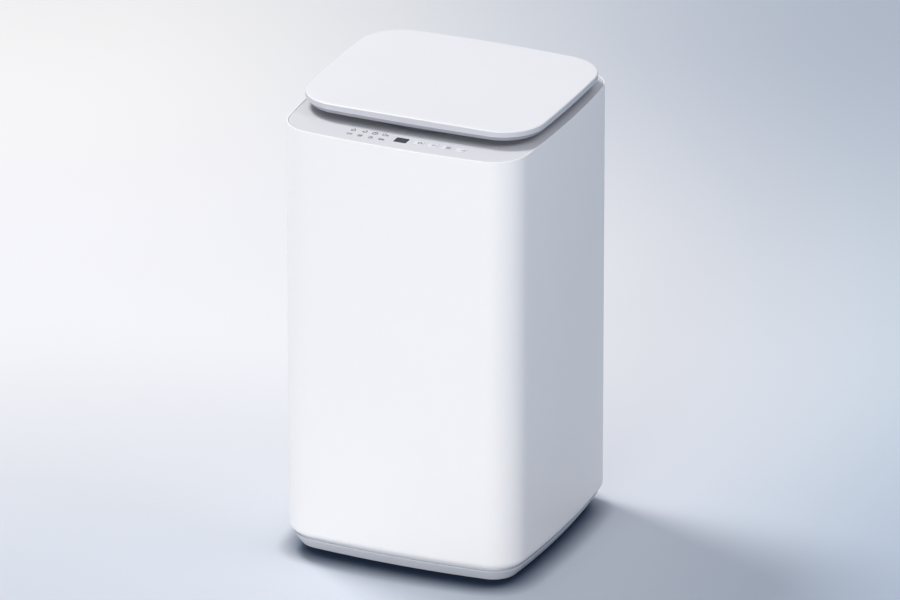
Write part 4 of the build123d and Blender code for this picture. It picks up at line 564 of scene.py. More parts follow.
cabinetLow, cabinetHigh = boxOf("cabinet_shell")
cabinet = dict(halfWidth=cabinetHigh[0], halfDepth=cabinetHigh[1], bulge=9.8, cornerRadius=53.5,
               wall=2.4, edgeRound=13.5, flange=10.0, rimRound=0.7,
               rearWidth=206.0, rearHeight=615.0, rearMiddle=360.5, rearCorner=10.0)


def cabinetRing(inset, z):
    flat = softOutline(cabinet["halfWidth"] - inset, cabinet["halfDepth"] - inset, cabinet["bulge"],
                       cabinet["cornerRadius"] - inset)
    return [(x, y, z) for x, y in flat]


flangeEnd = cabinet["edgeRound"] + cabinet["flange"]
wall, cabinetUnder, cabinetTop = cabinet["wall"], cabinetLow[2], cabinetHigh[2]
wallProfile = filleted([(flangeEnd, cabinetUnder, 0), (0, cabinetUnder, cabinet["edgeRound"]),
                        (0, cabinetTop, cabinet["rimRound"]), (wall, cabinetTop, cabinet["rimRound"]),
                        (wall, cabinetUnder + wall, cabinet["edgeRound"] - wall),
                        (flangeEnd, cabinetUnder + wall, 0)], steps=8)
cabinetShell = loft("cabinetShell", [cabinetRing(inset, z) for inset, z in wallProfile], moldedWhiteAbs,
                    closed=True)
rearOpening = prism("rearOpening", roundedRect(0, cabinet["rearMiddle"], cabinet["rearWidth"],
                                               cabinet["rearHeight"], cabinet["rearCorner"]),
                    150, 205, moldedWhiteAbs, axis="y")
cutAway(cabinetShell, [rearOpening])
place(cabinetShell, "cabinet", "cabinet_white", "cabinet_shell")
print("cabinet made")

# Plinth: a tapered band set back under the cabinet, with a floor pan, ribs and foot bosses

plinthLow, plinthHigh = boxOf("base_plinth")
plinth = dict(footInset=17.5, topInset=6.0, landInset=11.0, land=2.5, panInset=27.5, pan=3.0, edge=0.9,
              bossRadius=10.0, bossHeight=16.0, studRadius=4.05, footReach=130.0, ribHeight=6.0, ribWidth=3.0)
plinthTop = plinthHigh[2] - plinth["land"]
panTop = plinthLow[2] + plinth["pan"]
plinthEnd = plinthTop + plinth["land"]
bandProfile = filleted([(plinth["footInset"] + 60, plinthLow[2], 0),
                        (plinth["footInset"], plinthLow[2], plinth["edge"]),
                        (plinth["topInset"], plinthTop, plinth["edge"]), (plinth["landInset"], plinthTop, 0),
                        (plinth["landInset"], plinthEnd, 0), (plinth["panInset"], plinthEnd, 0.6),
                        (plinth["panInset"], panTop, 0.8), (plinth["panInset"] + 60, panTop, 0)],
                       steps=4, closed=False)
rings = [cabinetRing(inset, z) for inset, z in bandProfile]
rings = [[(0, 0, plinthLow[2])] * len(rings[0])] + rings + [[(0, 0, panTop)] * len(rings[0])]
plinthBand = loft("plinthBand", rings, plinthGreyPolypropylene)
reach = plinth["footReach"]
bossTop = panTop + plinth["bossHeight"]
bossProfile = [(plinth["studRadius"], panTop), (plinth["bossRadius"], panTop), (plinth["bossRadius"], bossTop),
               (plinth["studRadius"], bossTop)]
bosses = [turned("boss", bossProfile, (x, y), plinthGreyPolypropylene, 32)
          for x in (-reach, reach) for y in (-reach, reach)]
ribEnd = reach - plinth["bossRadius"] * 0.7
for turnSign in (-1, 1):
    across = Vector((1, -turnSign)).normalized() * plinth["ribWidth"] / 2
    ends = [Vector((-ribEnd, -ribEnd * turnSign)), Vector((ribEnd, ribEnd * turnSign))]
    ribCorners = ends[0] + across, ends[1] + across, ends[1] - across, ends[0] - across
    bosses.append(prism("rib", [tuple(point) for point in ribCorners], panTop, panTop + plinth["ribHeight"],
                        plinthGreyPolypropylene))
joinInto(plinthBand, bosses)
place(plinthBand, "cabinet", "plinth_grey", "base_plinth")

# Feet: three rubber pucks with grip rings, and one that screws up and down

foot = dict(radius=20.0, height=12.0, chamfer=3.0, ring=0.7, stud=4.0, studTop=28.0,
            discTop=6.0, nut=8.0, nutTop=11.5, threadPitch=1.25)


def footProfile(top, chamfer, studRadius, studTop):
    r = foot["radius"]
    grip = [(0.02, 0), (6, 0), (6.6, foot["ring"]), (8, foot["ring"]), (8.6, 0), (13, 0), (13.6, foot["ring"]),
            (15, foot["ring"]), (15.6, 0), (r - 0.8, 0), (r, 0.8)]
    return grip + [(r, top - chamfer), (r - 0.3, top - chamfer + 0.5), (r - chamfer, top - 0.2),
                   (r - chamfer - 0.5, top), (studRadius, top), (studRadius, studTop), (0.02, studTop)]


rubberFeet = [turned("rubberFoot", footProfile(foot["height"], foot["chamfer"], foot["stud"], foot["studTop"]),
                     (x, y), nitrileRubber, 48)
              for x, y in ((-reach, -reach), (-reach, reach), (reach, reach))]
feet = joinInto(rubberFeet[0], rubberFeet[1:])
feet.name = "rubberFeet"
place(feet, "cabinet", "foot_rubber", "rubber_feet")

levelTop = boxOf("levelling_foot")[1][2]
threadSteps = int((levelTop - foot["nutTop"] - 1) / foot["threadPitch"] * 2)
threadPart = [(foot["stud"] - 0.35 * (k % 2), foot["nutTop"] + k * foot["threadPitch"] / 2)
              for k in range(threadSteps)]
levelProfile = footProfile(foot["discTop"], 2.0, foot["stud"] - 0.2, foot["nutTop"])[:-1]
levelProfile += threadPart + [(foot["stud"] - 1, levelTop), (0.02, levelTop)]
levellingFoot = turned("levellingFoot", levelProfile, (reach, -reach), nitrileRubber, 48)
hexOutline = circle(reach, -reach, foot["nut"], 6)
levellingNut = prism("levellingNut", hexOutline, foot["discTop"], foot["nutTop"], zincPlatedSteel)
nutBevel = levellingNut.modifiers.new("edge", "BEVEL")
nutBevel.width = 0.5 * mm
nutBevel.segments = 2
takeResult(levellingNut)
place(levellingFoot, "levelling_foot", "foot_rubber", "levelling_foot")
place(levellingNut, "levelling_foot", "zinc_steel")
print("plinth and feet made")

# Deck: grey plate inside the rim, with holes for the mouth, keys and window, and the hinge ears

deckUnder = boxOf("top_deck")[0][2]
deck = dict(inset=2.7, thickness=3.0, holeRadius=127.55, tubY=10.0, stripY=-161.5, edge=0.35,
            keyX=(27.0, 49.3, 71.6, 93.9), keyWidth=16.4, keyDepth=12.2, keyCorner=2.0, gap=0.3,
            windowWidth=20.0, windowDepth=17.0, windowCorner=1.5, windowThickness=1.6,
            hingeX=100.0, hingeY=168.9, hingeZ=699.0, earWidth=12.0, knuckle=4.5, pin=2.0)
deckTop = deckUnder + deck["thickness"]
deckRings = [cabinetRing(inset, z) for inset, z in filleted(
    [(deck["inset"], deckUnder, 0), (deck["inset"], deckTop, deck["edge"]), (deck["inset"] + 4, deckTop, 0)],
    steps=3, hold=0.5, closed=False)]
topDeck = loft("topDeck", deckRings, deckGreyAbs, capped=True)


def stripHole(x, width, depth, corner, low=deckUnder - cutPast):
    return prism("hole", roundedRect(x, deck["stripY"], width, depth, corner), low, deckTop + cutPast,
                 deckGreyAbs)


mouthHole = prism("hole", circle(0, deck["tubY"], deck["holeRadius"], 160), deckUnder - cutPast,
                  deckTop + cutPast, deckGreyAbs)
keyHoles = [stripHole(x, deck["keyWidth"] + 2 * deck["gap"], deck["keyDepth"] + 2 * deck["gap"],
                      deck["keyCorner"] + deck["gap"]) for x in deck["keyX"]]
windowSeat = stripHole(0, deck["windowWidth"] + 0.2, deck["windowDepth"] + 0.2, deck["windowCorner"],
                       deckTop - deck["windowThickness"])
windowHole = stripHole(0, deck["windowWidth"] - 3, deck["windowDepth"] - 3, deck["windowCorner"])
cutAway(topDeck, [mouthHole] + keyHoles + [windowSeat, windowHole])


def earOutline(y, z, radius, bottom):
    # upright plate whose top is rounded about the pin, drawn in YZ
    return [(y + radius, bottom)] + arc(y, z, radius, 0, math.pi, 16) + [(y - radius, bottom)]


def hingeEar(name, x, width, bottom, holeRadius, material):
    ear = prism(name, earOutline(deck["hingeY"], deck["hingeZ"], deck["knuckle"], bottom),
                x - width / 2, x + width / 2, material, axis="x")
    hole = prism("hole", circle(deck["hingeY"], deck["hingeZ"], holeRadius, 24), x - width, x + width, material,
                 axis="x")
    return cutAway(ear, [hole])


ears = [hingeEar("ear", x, deck["earWidth"], deckTop - 0.2, deck["pin"], deckGreyAbs)
        for x in (-deck["hingeX"], deck["hingeX"])]
joinInto(topDeck, ears)
place(topDeck, "cabinet", "deck_grey", "top_deck")

ringLow, ringHigh = boxOf("mouth_ring")
collar = dict(radius=124.0, wall=3.5, round=1.1, flange=6.0, flangeThickness=2.0,
              spoutRadius=7.7, spoutTurn=123.26, spoutRise=660.0)
inner, outer = collar["radius"], collar["radius"] + collar["wall"]
flangeRadius, flangeUnder = outer + collar["flange"], deckUnder - collar["flangeThickness"]
mouthProfile = filleted([(inner, ringLow[2], 0.5), (outer, ringLow[2], 0.5), (outer, flangeUnder, 0.5),
                         (flangeRadius, flangeUnder, 0.3), (flangeRadius, deckUnder, 0), (outer, deckUnder, 0),
                         (outer, ringHigh[2], collar["round"]), (inner, ringHigh[2], collar["round"])],
                        steps=5, hold=1.2)
mouthRing = turned("mouthRing", mouthProfile, (0, deck["tubY"]), collarGreyAbs, 160)
spoutHole = prism("spoutHole", circle(0, 0, collar["spoutRadius"], 32), inner - 6, outer + 3, collarGreyAbs)
spoutTurn = Matrix.Rotation(math.radians(collar["spoutTurn"]), 4, "Z") @ Matrix.Rotation(math.pi / 2, 4, "Y")
spoutHole.data.transform(Matrix.Translation((0, deck["tubY"] * mm, collar["spoutRise"] * mm)) @ spoutTurn)
cutAway(mouthRing, [spoutHole])
place(mouthRing, "cabinet", "deck_grey", "mouth_ring")

bumperLow, bumperHigh = boxOf("lid_bumpers")
bumper = dict(radius=5.0, reach=132.6, dome=1.4, shoulder=3.5, step=0.8)
neckRadius, shoulder = bumper["radius"] - bumper["step"], bumperLow[2] + bumper["shoulder"]
bumperProfile = filleted([(0.02, bumperLow[2], 0), (bumper["radius"], bumperLow[2], 0.4),
                          (bumper["radius"], shoulder - 0.1, 0.4), (neckRadius, shoulder + 0.1, 0.3),
                          (neckRadius, bumperHigh[2], bumper["dome"]), (0.02, bumperHigh[2], 0)],
                         steps=4, hold=0.3, closed=False)
bumpers = []
for k in range(4):
    angle = math.radians(45 + 90 * k)
    spot = (bumper["reach"] * math.cos(angle), deck["tubY"] + bumper["reach"] * math.sin(angle))
    bumpers.append(turned("bumper", bumperProfile, spot, nitrileRubber, 32))
lidBumpers = joinInto(bumpers[0], bumpers[1:])
lidBumpers.name = "lidBumpers"
place(lidBumpers, "cabinet", "foot_rubber", "lid_bumpers")
print("deck, mouth ring and bumpers made")

# Keys, window and printed marks of the control strip

keys = dict(edge=0.5, flange=1.2, flangeThickness=1.4, stem=2.5, under=679.0, capDrop=0.12)
window = dict(edge=0.35)
printing = dict(lift=-0.05, thickness=0.17, line=1.5, iconSize=4.5, iconX=(-79.5, -62.5, -45.5, -28.5),
                iconY=(-153.0, -169.0), frameGap=0.5, frameWidth=0.9, keyMarkX=2.6)


def roundedBlock(name, x, y, width, depth, radius, low, high, edge, material):
    path = filleted([(0, low, 0), (0, high, edge), (edge * 3, high, 0)], steps=3, hold=0.4, closed=False)
    block = [[(a, b, z) for a, b in roundedRect(x, y, width - 2 * inset, depth - 2 * inset,
                                                max(radius - inset, 0.3))] for inset, z in path]
    return loft(name, block, material, capped=True)


def stroke(points, loop=False, width=None):
    # a printed line of even width along points, as a thin raised strip
    halfLine = (width or printing["line"]) / 2
    low = deckTop + printing["lift"]
    high = low + printing["thickness"]
    count = len(points)
    corners, faces = [], []
    for i, (x, y) in enumerate(points):
        a = Vector(points[i - 1] if loop or i else points[0])
        b = Vector(points[(i + 1) % count] if loop or i < count - 1 else points[-1])
        way = (b - a).normalized()
        off = Vector((-way.y, way.x)) * halfLine
        corners += [(x + off.x, y + off.y, low), (x - off.x, y - off.y, low),
                    (x - off.x, y - off.y, high), (x + off.x, y + off.y, high)]
    for i in range(count if loop else count - 1):
        a, b = 4 * i, 4 * ((i + 1) % count)
        faces += [(a + k, a + (k + 1) % 4, b + (k + 1) % 4, b + k) for k in range(4)]
    if not loop:
        faces += [(3, 2, 1, 0), tuple(len(corners) - 4 + k for k in range(4))]
    return corners, faces


def bow(x, y, radius, start, end, steps):
    return arc(x, y, radius, math.radians(start), math.radians(end), steps)  # angles in degrees


def printedPiece(name, strokes, lift=0.0, material=printedGreyInk):
    points, faces = [], []
    for corners, sides in strokes:
        faces += [tuple(len(points) + i for i in f) for f in sides]
        points += [(x, y, z + lift) for x, y, z in corners]
    return makePiece(name, points, faces, material)


s = printing["iconSize"]


def shoeIcon(x, y):
    outline = [(-1, -0.5), (1, -0.5), (1, -0.05), (0.3, 0.1), (-0.2, 0.7), (-1, 0.7)]
    return [stroke([(x + a * s, y + b * s) for a, b in outline], True)]


def brushIcon(x, y):
    back = stroke([(x - s, y + 0.4 * s), (x + s, y + 0.4 * s)], width=1.3)
    return [back] + [stroke([(x + k * 0.4 * s, y + 0.2 * s), (x + k * 0.4 * s, y - 0.7 * s)], width=0.5)
                     for k in (-2, -1, 0, 1, 2)]


def sunIcon(x, y):
    step = 1.0472  # 60 degrees
    rays = [[(x + far * s * math.cos(k * step), y + far * s * math.sin(k * step)) for far in (0.65, 1)]
            for k in range(6)]
    return [stroke(bow(x, y, 0.42 * s, 0, 330, 11), True)] + [stroke(ray) for ray in rays]


def lockIcon(x, y):
    outline = [(-0.6, -0.8), (0.6, -0.8), (0.6, 0.1), (-0.6, 0.1)]
    return [stroke([(x + a * s, y + b * s) for a, b in outline], True),
            stroke(bow(x, y + 0.2 * s, 0.4 * s, 0, 180, 8))]


iconShapes = [
    lambda x, y: [stroke([(x, y + s)] + bow(x, y - 0.25 * s, 0.65 * s, 35, -215, 12), True)],
    lambda x, y: [stroke([(x + s * k / 26 * math.cos(k / 3.4), y + s * k / 26 * math.sin(k / 3.4))
                          for k in range(4, 27)])],
    lambda x, y: [stroke(bow(x, y, 0.85 * s, 0, 340, 18), True),
                  stroke([(x, y + 0.5 * s), (x, y), (x + 0.4 * s, y)])],
    shoeIcon, brushIcon, sunIcon, lockIcon,
    lambda x, y: [stroke([(x - s + 2 * s * k / 12, y + d + 0.25 * s * math.sin(k * 1.05)) for k in range(13)])
                  for d in (-0.5 * s, 0.15 * s)],
]  # drop, spiral, clock, shoe, brush, sun, lock and waves
iconStrokes = []
for i, shape in enumerate(iconShapes):
    iconStrokes += shape(printing["iconX"][i % 4], printing["iconY"][i // 4])
frameGrowth = 2 * printing["frameGap"] + printing["frameWidth"]
frameRect = roundedRect(0, deck["stripY"], deck["windowWidth"] + frameGrowth,
                        deck["windowDepth"] + frameGrowth, 2.4)
panelPrint = printedPiece("panelPrint", iconStrokes)
place(panelPrint, "cabinet", "dark_plastic")
windowFrame = printedPiece("windowFrame", [stroke(frameRect, True, printing["frameWidth"])], material=keyAbs)
place(windowFrame, "cabinet", "key_white")

displayWindow = roundedBlock("displayWindow", 0, deck["stripY"], deck["windowWidth"], deck["windowDepth"],
                             deck["windowCorner"], deckTop - deck["windowThickness"], deckTop, window["edge"],
                             smokedAcrylic)
place(displayWindow, "cabinet", "display_glass", "display_window")

keyMarks = {
    "power_key": lambda x, y: [stroke(bow(x, y, 2.9, 125, 415, 16)), stroke([(x, y + 0.8), (x, y + 4.0)])],
    "start_key": lambda x, y: [stroke([(x - 2.6, y - 3.0), (x + 3.2, y), (x - 2.6, y + 3.0)], True)],
    "program_key": lambda x, y: [stroke([(x - 3.6, y + d), (x + 3.6, y + d)]) for d in (-2.9, 0, 2.9)],
    "level_key": lambda x, y: [stroke([(x + d, y - 3.0), (x + d, y + d)]) for d in (-2.9, 0, 2.9)],
}
for (keyName, mark), x in zip(keyMarks.items(), deck["keyX"]):
    low, high = boxOf(keyName)
    capTop = high[2] - keys["capDrop"]
    cap = roundedBlock(keyName + "Cap", x, deck["stripY"], deck["keyWidth"], deck["keyDepth"], deck["keyCorner"],
                       keys["under"] - 0.2, capTop, keys["edge"], keyAbs)
    flange = prism("flange", roundedRect(x, deck["stripY"], deck["keyWidth"] + 2 * keys["flange"],
                                         deck["keyDepth"] + 2 * keys["flange"], deck["keyCorner"]),
                   keys["under"] - keys["flangeThickness"], keys["under"], keyAbs)
    stem = prism("stem", circle(x, deck["stripY"], keys["stem"], 24), low[2], keys["under"] - 1, keyAbs)
    joinInto(cap, [flange, stem])
    place(cap, keyName, "key_white", keyName)
    printed = printedPiece(keyName + "Mark", mark(x + printing["keyMarkX"], deck["stripY"]), capTop - deckTop)
    place(printed, keyName, "dark_plastic")
print("control strip made")

# Lid: a crowned white skin whose side band is painted grey as shade, and the liner under it

lidLow, lidHigh = boxOf("lid_top")
linerUnder = boxOf("lid_liner")[0][2]
lid = dict(halfWidth=lidHigh[0], halfDepth=(lidHigh[1] - lidLow[1]) / 2, centerY=(lidHigh[1] + lidLow[1]) / 2,
           bulge=5.0, cornerRadius=66.0, crown=4.0, band=7.5, skin=2.5, edge=2.2, floor=2.0,
           footInset=6.0, step=1.5, panelInset=22.0, panelDepth=0.8, notchWidth=14.0, notchFront=163.4,
           notchRear=190, notchTop=704.3, knuckleWidth=10.0, knuckleStep=11.3)
lidEdge = lidLow[2] + lid["band"]
crownReach = math.hypot(lid["halfWidth"], lid["halfDepth"])
crownRadius = (crownReach ** 2 + lid["crown"] ** 2) / (2 * lid["crown"])
crownMiddle = lidEdge + lid["crown"] - crownRadius


def lidOutline(inset):
    return softOutline(lid["halfWidth"] - inset, lid["halfDepth"] - inset, lid["bulge"],
                       lid["cornerRadius"] - inset, lid["centerY"])


def crownHeight(x, y, drop=0.0):
    return crownMiddle + math.sqrt((crownRadius - drop) ** 2 - x ** 2 - (y - lid["centerY"]) ** 2)


def lidRing(inset, height):
    # height is a level, or how far below the crown as ("crown", depth)
    flat = lidOutline(inset)
    if isinstance(height, tuple):
        return [(x, y, crownHeight(x, y) - height[1]) for x, y in flat]
    return [(x, y, height) for x, y in flat]


def crownDisc(inset, drop, steps=18):
    # rings that close in on the middle of the crown
    flat = lidOutline(inset)
    discRings = []
    for k in range(steps, -1, -1):
        share = k / steps
        ring = [(x * share, lid["centerY"] + (y - lid["centerY"]) * share) for x, y in flat]
        discRings.append([(x, y, crownHeight(x, y, drop)) for x, y in ring])
    return discRings


outerRings = [lidRing(0.5, lidLow[2]), lidRing(0.15, lidLow[2] + 0.15), lidRing(0, lidLow[2] + 0.5),
              lidRing(0, lidLow[2] + 1.2), lidRing(0, ("crown", lid["edge"] + 0.8))]
for k in range(8):
    angle = math.pi / 2 * k / 8
    outerRings.append(lidRing(lid["edge"] * (1 - math.cos(angle)),
                              ("crown", lid["edge"] * (1 - math.sin(angle)))))
innerRings = crownDisc(lid["skin"], lid["skin"])[::-1] + [lidRing(lid["skin"], lidLow[2] + 1),
                                                          lidRing(lid["skin"], lidLow[2])]
lidTop = loft("lidTop", innerRings + outerRings + crownDisc(lid["edge"], 0.0), satinLidAbs)
lidTop.data.materials.append(paintedShadeSideAbs)
for face in lidTop.data.polygons:
    if abs(face.normal.z) < 0.3 and face.center.z < (lidEdge + 0.8) * mm:
        face.material_index = 1  # painted shade on the sideways faces of the band round the side


def notchCutters():
    notches = []
    for x in (-deck["hingeX"], deck["hingeX"]):
        left, right = x - lid["notchWidth"] / 2, x + lid["notchWidth"] / 2
        outline = [(left, lid["notchFront"]), (right, lid["notchFront"]), (right, lid["notchRear"]),
                   (left, lid["notchRear"])]
        notches.append(prism("notch", outline, linerUnder - 2, lid["notchTop"], linerGreyAbs))
    return notches


cutAway(lidTop, notchCutters())
place(lidTop, "lid", "lid_white", "lid_top")

split = linerUnder + 7.5
linerFloor = linerUnder + lid["floor"]
panelRing = lid["footInset"] + lid["panelInset"]
panelUnder = linerUnder + lid["panelDepth"]
wallInset = lid["footInset"] + lid["skin"]
linerLevels = [(panelRing + 1.5, panelUnder), (panelRing + 0.5, panelUnder), (panelRing - 0.5, linerUnder),
               (panelRing - 1.5, linerUnder), (lid["footInset"] + 1.5, linerUnder),
               (lid["footInset"] + 0.5, linerUnder), (lid["footInset"], linerUnder + 0.4),
               (lid["footInset"] - 0.4, linerUnder + 1.1), (lid["step"] + 0.3, split - 0.6), (lid["step"], split),
               (wallInset, split), (wallInset, linerFloor)]
linerEnds = [[(0, lid["centerY"], z)] * len(lidOutline(0)) for z in (panelUnder, linerFloor)]
linerRings = [linerEnds[0]] + [lidRing(inset, z) for inset, z in linerLevels] + [linerEnds[1]]
lidLiner = loft("lidLiner", linerRings, linerGreyAbs)
cutAway(lidLiner, notchCutters())
knuckles = [hingeEar("knuckle", sideSign * deck["hingeX"] + stepSign * lid["knuckleStep"], lid["knuckleWidth"],
                     linerFloor - 0.2, deck["pin"] + 0.05, linerGreyAbs)
            for sideSign in (-1, 1) for stepSign in (-1, 1)]
joinInto(lidLiner, knuckles)
place(lidLiner, "lid", "lid_grey", "lid_liner")
print("lid made")

# Rear: panel with pockets and louvres, screws, inlet with hose thread, drain spigot and cord gland

panelLow, panelHigh = boxOf("rear_panel")
panel = dict(width=panelHigh[0] - panelLow[0], thickness=2.0, corner=10.0, edge=0.6,
             pocketWidth=52.0, pocketHeight=32.0, pocketCorner=3.0, pocketDepth=20.0,
             inlet=(-76.0, 652.0), drain=(76.0, 80.0), gland=(60.0, 640.0), inletHole=13.3, drainHole=13.2,
             glandHole=8.1, slotLength=34.0, slotHeight=5.0, slotPitch=14.0, slotRows=9, slotSpan=44.0,
             slotRise=400.5, hoodDepth=2.6, screwX=213.0, screwPitch=274.5, middle=360.5,
             headRadius=3.5, headHeight=1.8, headFace=191.97)
panelBack = panelHigh[1]
panelFront = panelBack - panel["thickness"]
pocketFloor = panelBack - panel["pocketDepth"]
panelPath = filleted([(0, panelFront, 0), (0, panelBack, panel["edge"]), (3, panelBack, 0)], steps=3, hold=0.4,
                     closed=False)
panelHeight, panelMiddle = panelHigh[2] - panelLow[2], (panelLow[2] + panelHigh[2]) / 2
panelRings = [[(a, y, b) for a, b in roundedRect(0, panelMiddle, panel["width"] - 2 * inset,
                                                 panelHeight - 2 * inset, panel["corner"] - inset)]
              for inset, y in panelPath]
rearPanel = loft("rearPanel", panelRings, plinthGreyPolypropylene, capped=True)


def rearPrism(outline, low, high):
    return prism("rearPart", outline, low, high, plinthGreyPolypropylene, axis="y")


pipes = (panel["inlet"], panel["drain"])
grown = 2 * panel["thickness"]
pockets = [rearPrism(roundedRect(x, z, panel["pocketWidth"] + grown, panel["pocketHeight"] + grown,
                                 panel["pocketCorner"] + panel["thickness"]),
                     pocketFloor - panel["thickness"], panelFront + 0.5) for x, z in pipes]
cutAway(rearPanel, pockets, "UNION")
rearCutters = [rearPrism(roundedRect(x, z, panel["pocketWidth"], panel["pocketHeight"], panel["pocketCorner"]),
                         pocketFloor, panelBack + cutPast) for x, z in pipes]
for hole in ("inlet", "drain", "gland"):
    rearCutters.append(rearPrism(circle(*panel[hole], panel[hole + "Hole"], 64), pocketFloor - 10,
                                 panelBack + cutPast))
slotOutline = roundedRect(0, 0, panel["slotLength"], panel["slotHeight"], panel["slotHeight"] / 2 - 0.01)
for column in (-1, 1):
    for row in range(panel["slotRows"]):
        z = panel["slotRise"] + (row - (panel["slotRows"] - 1) / 2) * panel["slotPitch"]
        rearCutters.append(rearPrism([(a + column * panel["slotSpan"] / 2, b + z) for a, b in slotOutline],
                                     panelFront - 3, panelBack + cutPast))
cutAway(rearPanel, rearCutters)
place(rearPanel, "cabinet", "plinth_grey", "rear_panel")


def startPiece(name, material):
    return makePiece(name, [(0, 0, 0), (1, 0, 0), (0, 0, 1)], [(0, 1, 2)], material)


def spacedGrid(tree, given, spacings):
    # a flat grid of points, as many as Columns and Rows say, at the two spacings
    spans = []
    for label, spacing in zip(("Columns", "Rows"), spacings):
        gaps = addNode(tree, "ShaderNodeMath", {0: given[label], 1: 1.0}, operation="SUBTRACT")
        spans.append(addNode(tree, "ShaderNodeMath", {0: gaps, 1: spacing}, operation="MULTIPLY"))
    return addNode(tree, "GeometryNodeMeshGrid", {
        "Size X": spans[0], "Size Y": spans[1], "Vertices X": given["Columns"], "Vertices Y": given["Rows"]})


def realCopies(tree, points, part, **turns):
    copies = addNode(tree, "GeometryNodeInstanceOnPoints", {"Points": points, "Instance": part, **turns})
    return addNode(tree, "GeometryNodeRealizeInstances", {"Geometry": copies})


def closeTree(tree, given, geometry):
    painted = addNode(tree, "GeometryNodeSetMaterial", {"Geometry": geometry, "Material": given["Material"]})
    addNode(tree, "NodeGroupOutput", {"Geometry": painted})


# rows of one part over the back: louvre hoods and screw heads use the same tree
rowTree, given = nodeTree("rowsOfParts", [
    ("Part", "Object"), ("Columns", "Int"), ("Rows", "Int"), ("Column spacing", "Float"),
    ("Row spacing", "Float"), ("Middle", "Vector"), ("Material", "Material")])
grid = spacedGrid(rowTree, given, (given["Column spacing"], given["Row spacing"]))
stand = addNode(rowTree, "GeometryNodeTransform", {
    "Geometry": grid, "Translation": given["Middle"], "Rotation": (math.pi / 2, 0.0, 0.0)})
part = addNode(rowTree, "GeometryNodeObjectInfo", {"Object": given["Part"]}).outputs["Geometry"]
closeTree(rowTree, given, realCopies(rowTree, stand, part))


def rowsOf(name, partPiece, columns, rowsCount, spacingX, spacingZ, middle, material):
    made = startPiece(name, material)
    runTree(made, rowTree, {"Part": partPiece, "Columns": columns, "Rows": rowsCount,
                            "Column spacing": spacingX * mm, "Row spacing": spacingZ * mm,
                            "Middle": [v * mm for v in middle], "Material": material})
    bpy.data.objects.remove(partPiece)
    return made


def louvreHood():
    # pressed hood over each slot: high along its upper edge, open at the bottom
    length, height, depth, sheet = panel["slotLength"] + 3, panel["slotHeight"] + 3.4, panel["hoodDepth"], 0.5
    points, faces, along, up = [], [], 14, 6
    for layer in (0, 1):
        for i in range(along + 1):
            x = (i / along - 0.5) * length
            swell = math.sqrt(max(0.0, 1 - (2 * i / along - 1) ** 4))
            for j in range(up + 1):
                share = j / up
                y = depth * swell * math.cos(share * math.pi / 2) - layer * sheet
                z = -height / 2 + height * share * (1 if layer == 0 else 0.94)
                points.append((x * (1 if layer == 0 else 0.97), max(y, -0.3 * layer), z))
    row = up + 1
    size = (along + 1) * row
    for i in range(along):
        for j in range(up):
            a = i * row + j
            b = size + a
            faces += [(a, a + row, a + row + 1, a + 1), (b + 1, b + row + 1, b + row, b)]
    border = ([i * row for i in range(along + 1)] + [along * row + j for j in range(1, up + 1)]
              + [i * row + up for i in range(along - 1, -1, -1)] + [j for j in range(up - 1, 0, -1)])
    for k, a in enumerate(border):
        b = border[(k + 1) % len(border)]
        faces.append((b, a, size + a, size + b))
    return makePiece("hood", points, faces, plinthGreyPolypropylene, 40)


hoods = rowsOf("louvreHoods", louvreHood(), 2, panel["slotRows"], panel["slotSpan"], panel["slotPitch"],
               (0, panelBack, panel["slotRise"] + 1.2), plinthGreyPolypropylene)
place(hoods, "cabinet", "plinth_grey")

r, h = panel["headRadius"], panel["headHeight"]
screwHead = turned("screwHead", [(0.02, -9), (1.7, -9), (1.7, 0), (r - 0.1, 0), (r, 0.3), (r * 0.93, h * 0.6),
                                 (r * 0.7, h * 0.9), (r * 0.35, h), (0.02, h)], (0, 0), groundSteel, 20, axis="y")
cross = [prism("cross", roundedRect(0, 0, a, b, 0.2, 1), h - 1.0, h + 1, groundSteel, axis="y")
         for a, b in ((3.4, 0.8), (0.8, 3.4))]
cutAway(screwHead, cross)
screws = rowsOf("rearScrews", screwHead, 2, 3, panel["screwX"], panel["screwPitch"],
                (0, panel["headFace"], panel["middle"]), groundSteel)
place(screws, "cabinet", "bright_steel", "rear_screws")


def solidCopy(node, name, material):
    # the solid's loose triangles are merged, so that it can be cut and shaded as one piece
    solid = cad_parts[node]
    copy = linkObject(name, solid.data.copy())
    copy.data.transform(solid.matrix_world)
    editMesh(copy.data, lambda work: weld(work, 1e-6))
    for slot in copy.material_slots:
        slot.link = "DATA"
    copy.data.materials.clear()
    copy.data.materials.append(material)
    shadeSmooth(copy.data)
    return copy


def turnDown(piece, teeth, spot):
    # a tool ring round the pipe whose inner side is the wanted outline
    tool = turned("tool", [(25, teeth[-1][1]), (25, teeth[0][1])] + teeth, spot, innerPolypropylene, axis="y")
    return cutAway(piece, [tool])


# hose thread of the inlet: 1.8 mm pitch, and a plain lead at its end
inlet = dict(root=12.2, crest=13.3, pitch=1.8, end=boxOf("inlet_valve")[1][1])
threadTeeth = [(inlet["crest"], pocketFloor + 0.6)]
for k in range(int((inlet["end"] - 1.6 - pocketFloor) / inlet["pitch"])):
    y = pocketFloor + 0.8 + k * inlet["pitch"]
    threadTeeth += [(inlet["root"], y + 0.4), (inlet["root"], y + 0.9), (inlet["crest"] - 0.25, y + 1.5),
                    (inlet["crest"] - 0.25, y + 1.7)]
threadTeeth += [(inlet["root"], inlet["end"] - 1.0), (inlet["root"] - 0.8, inlet["end"] + 0.5)]
inletValve = solidCopy("inlet_valve", "inletValve", innerPolypropylene)
turnDown(inletValve, threadTeeth, panel["inlet"])
place(inletValve, "cabinet", "inner_plastic", "inlet_valve")

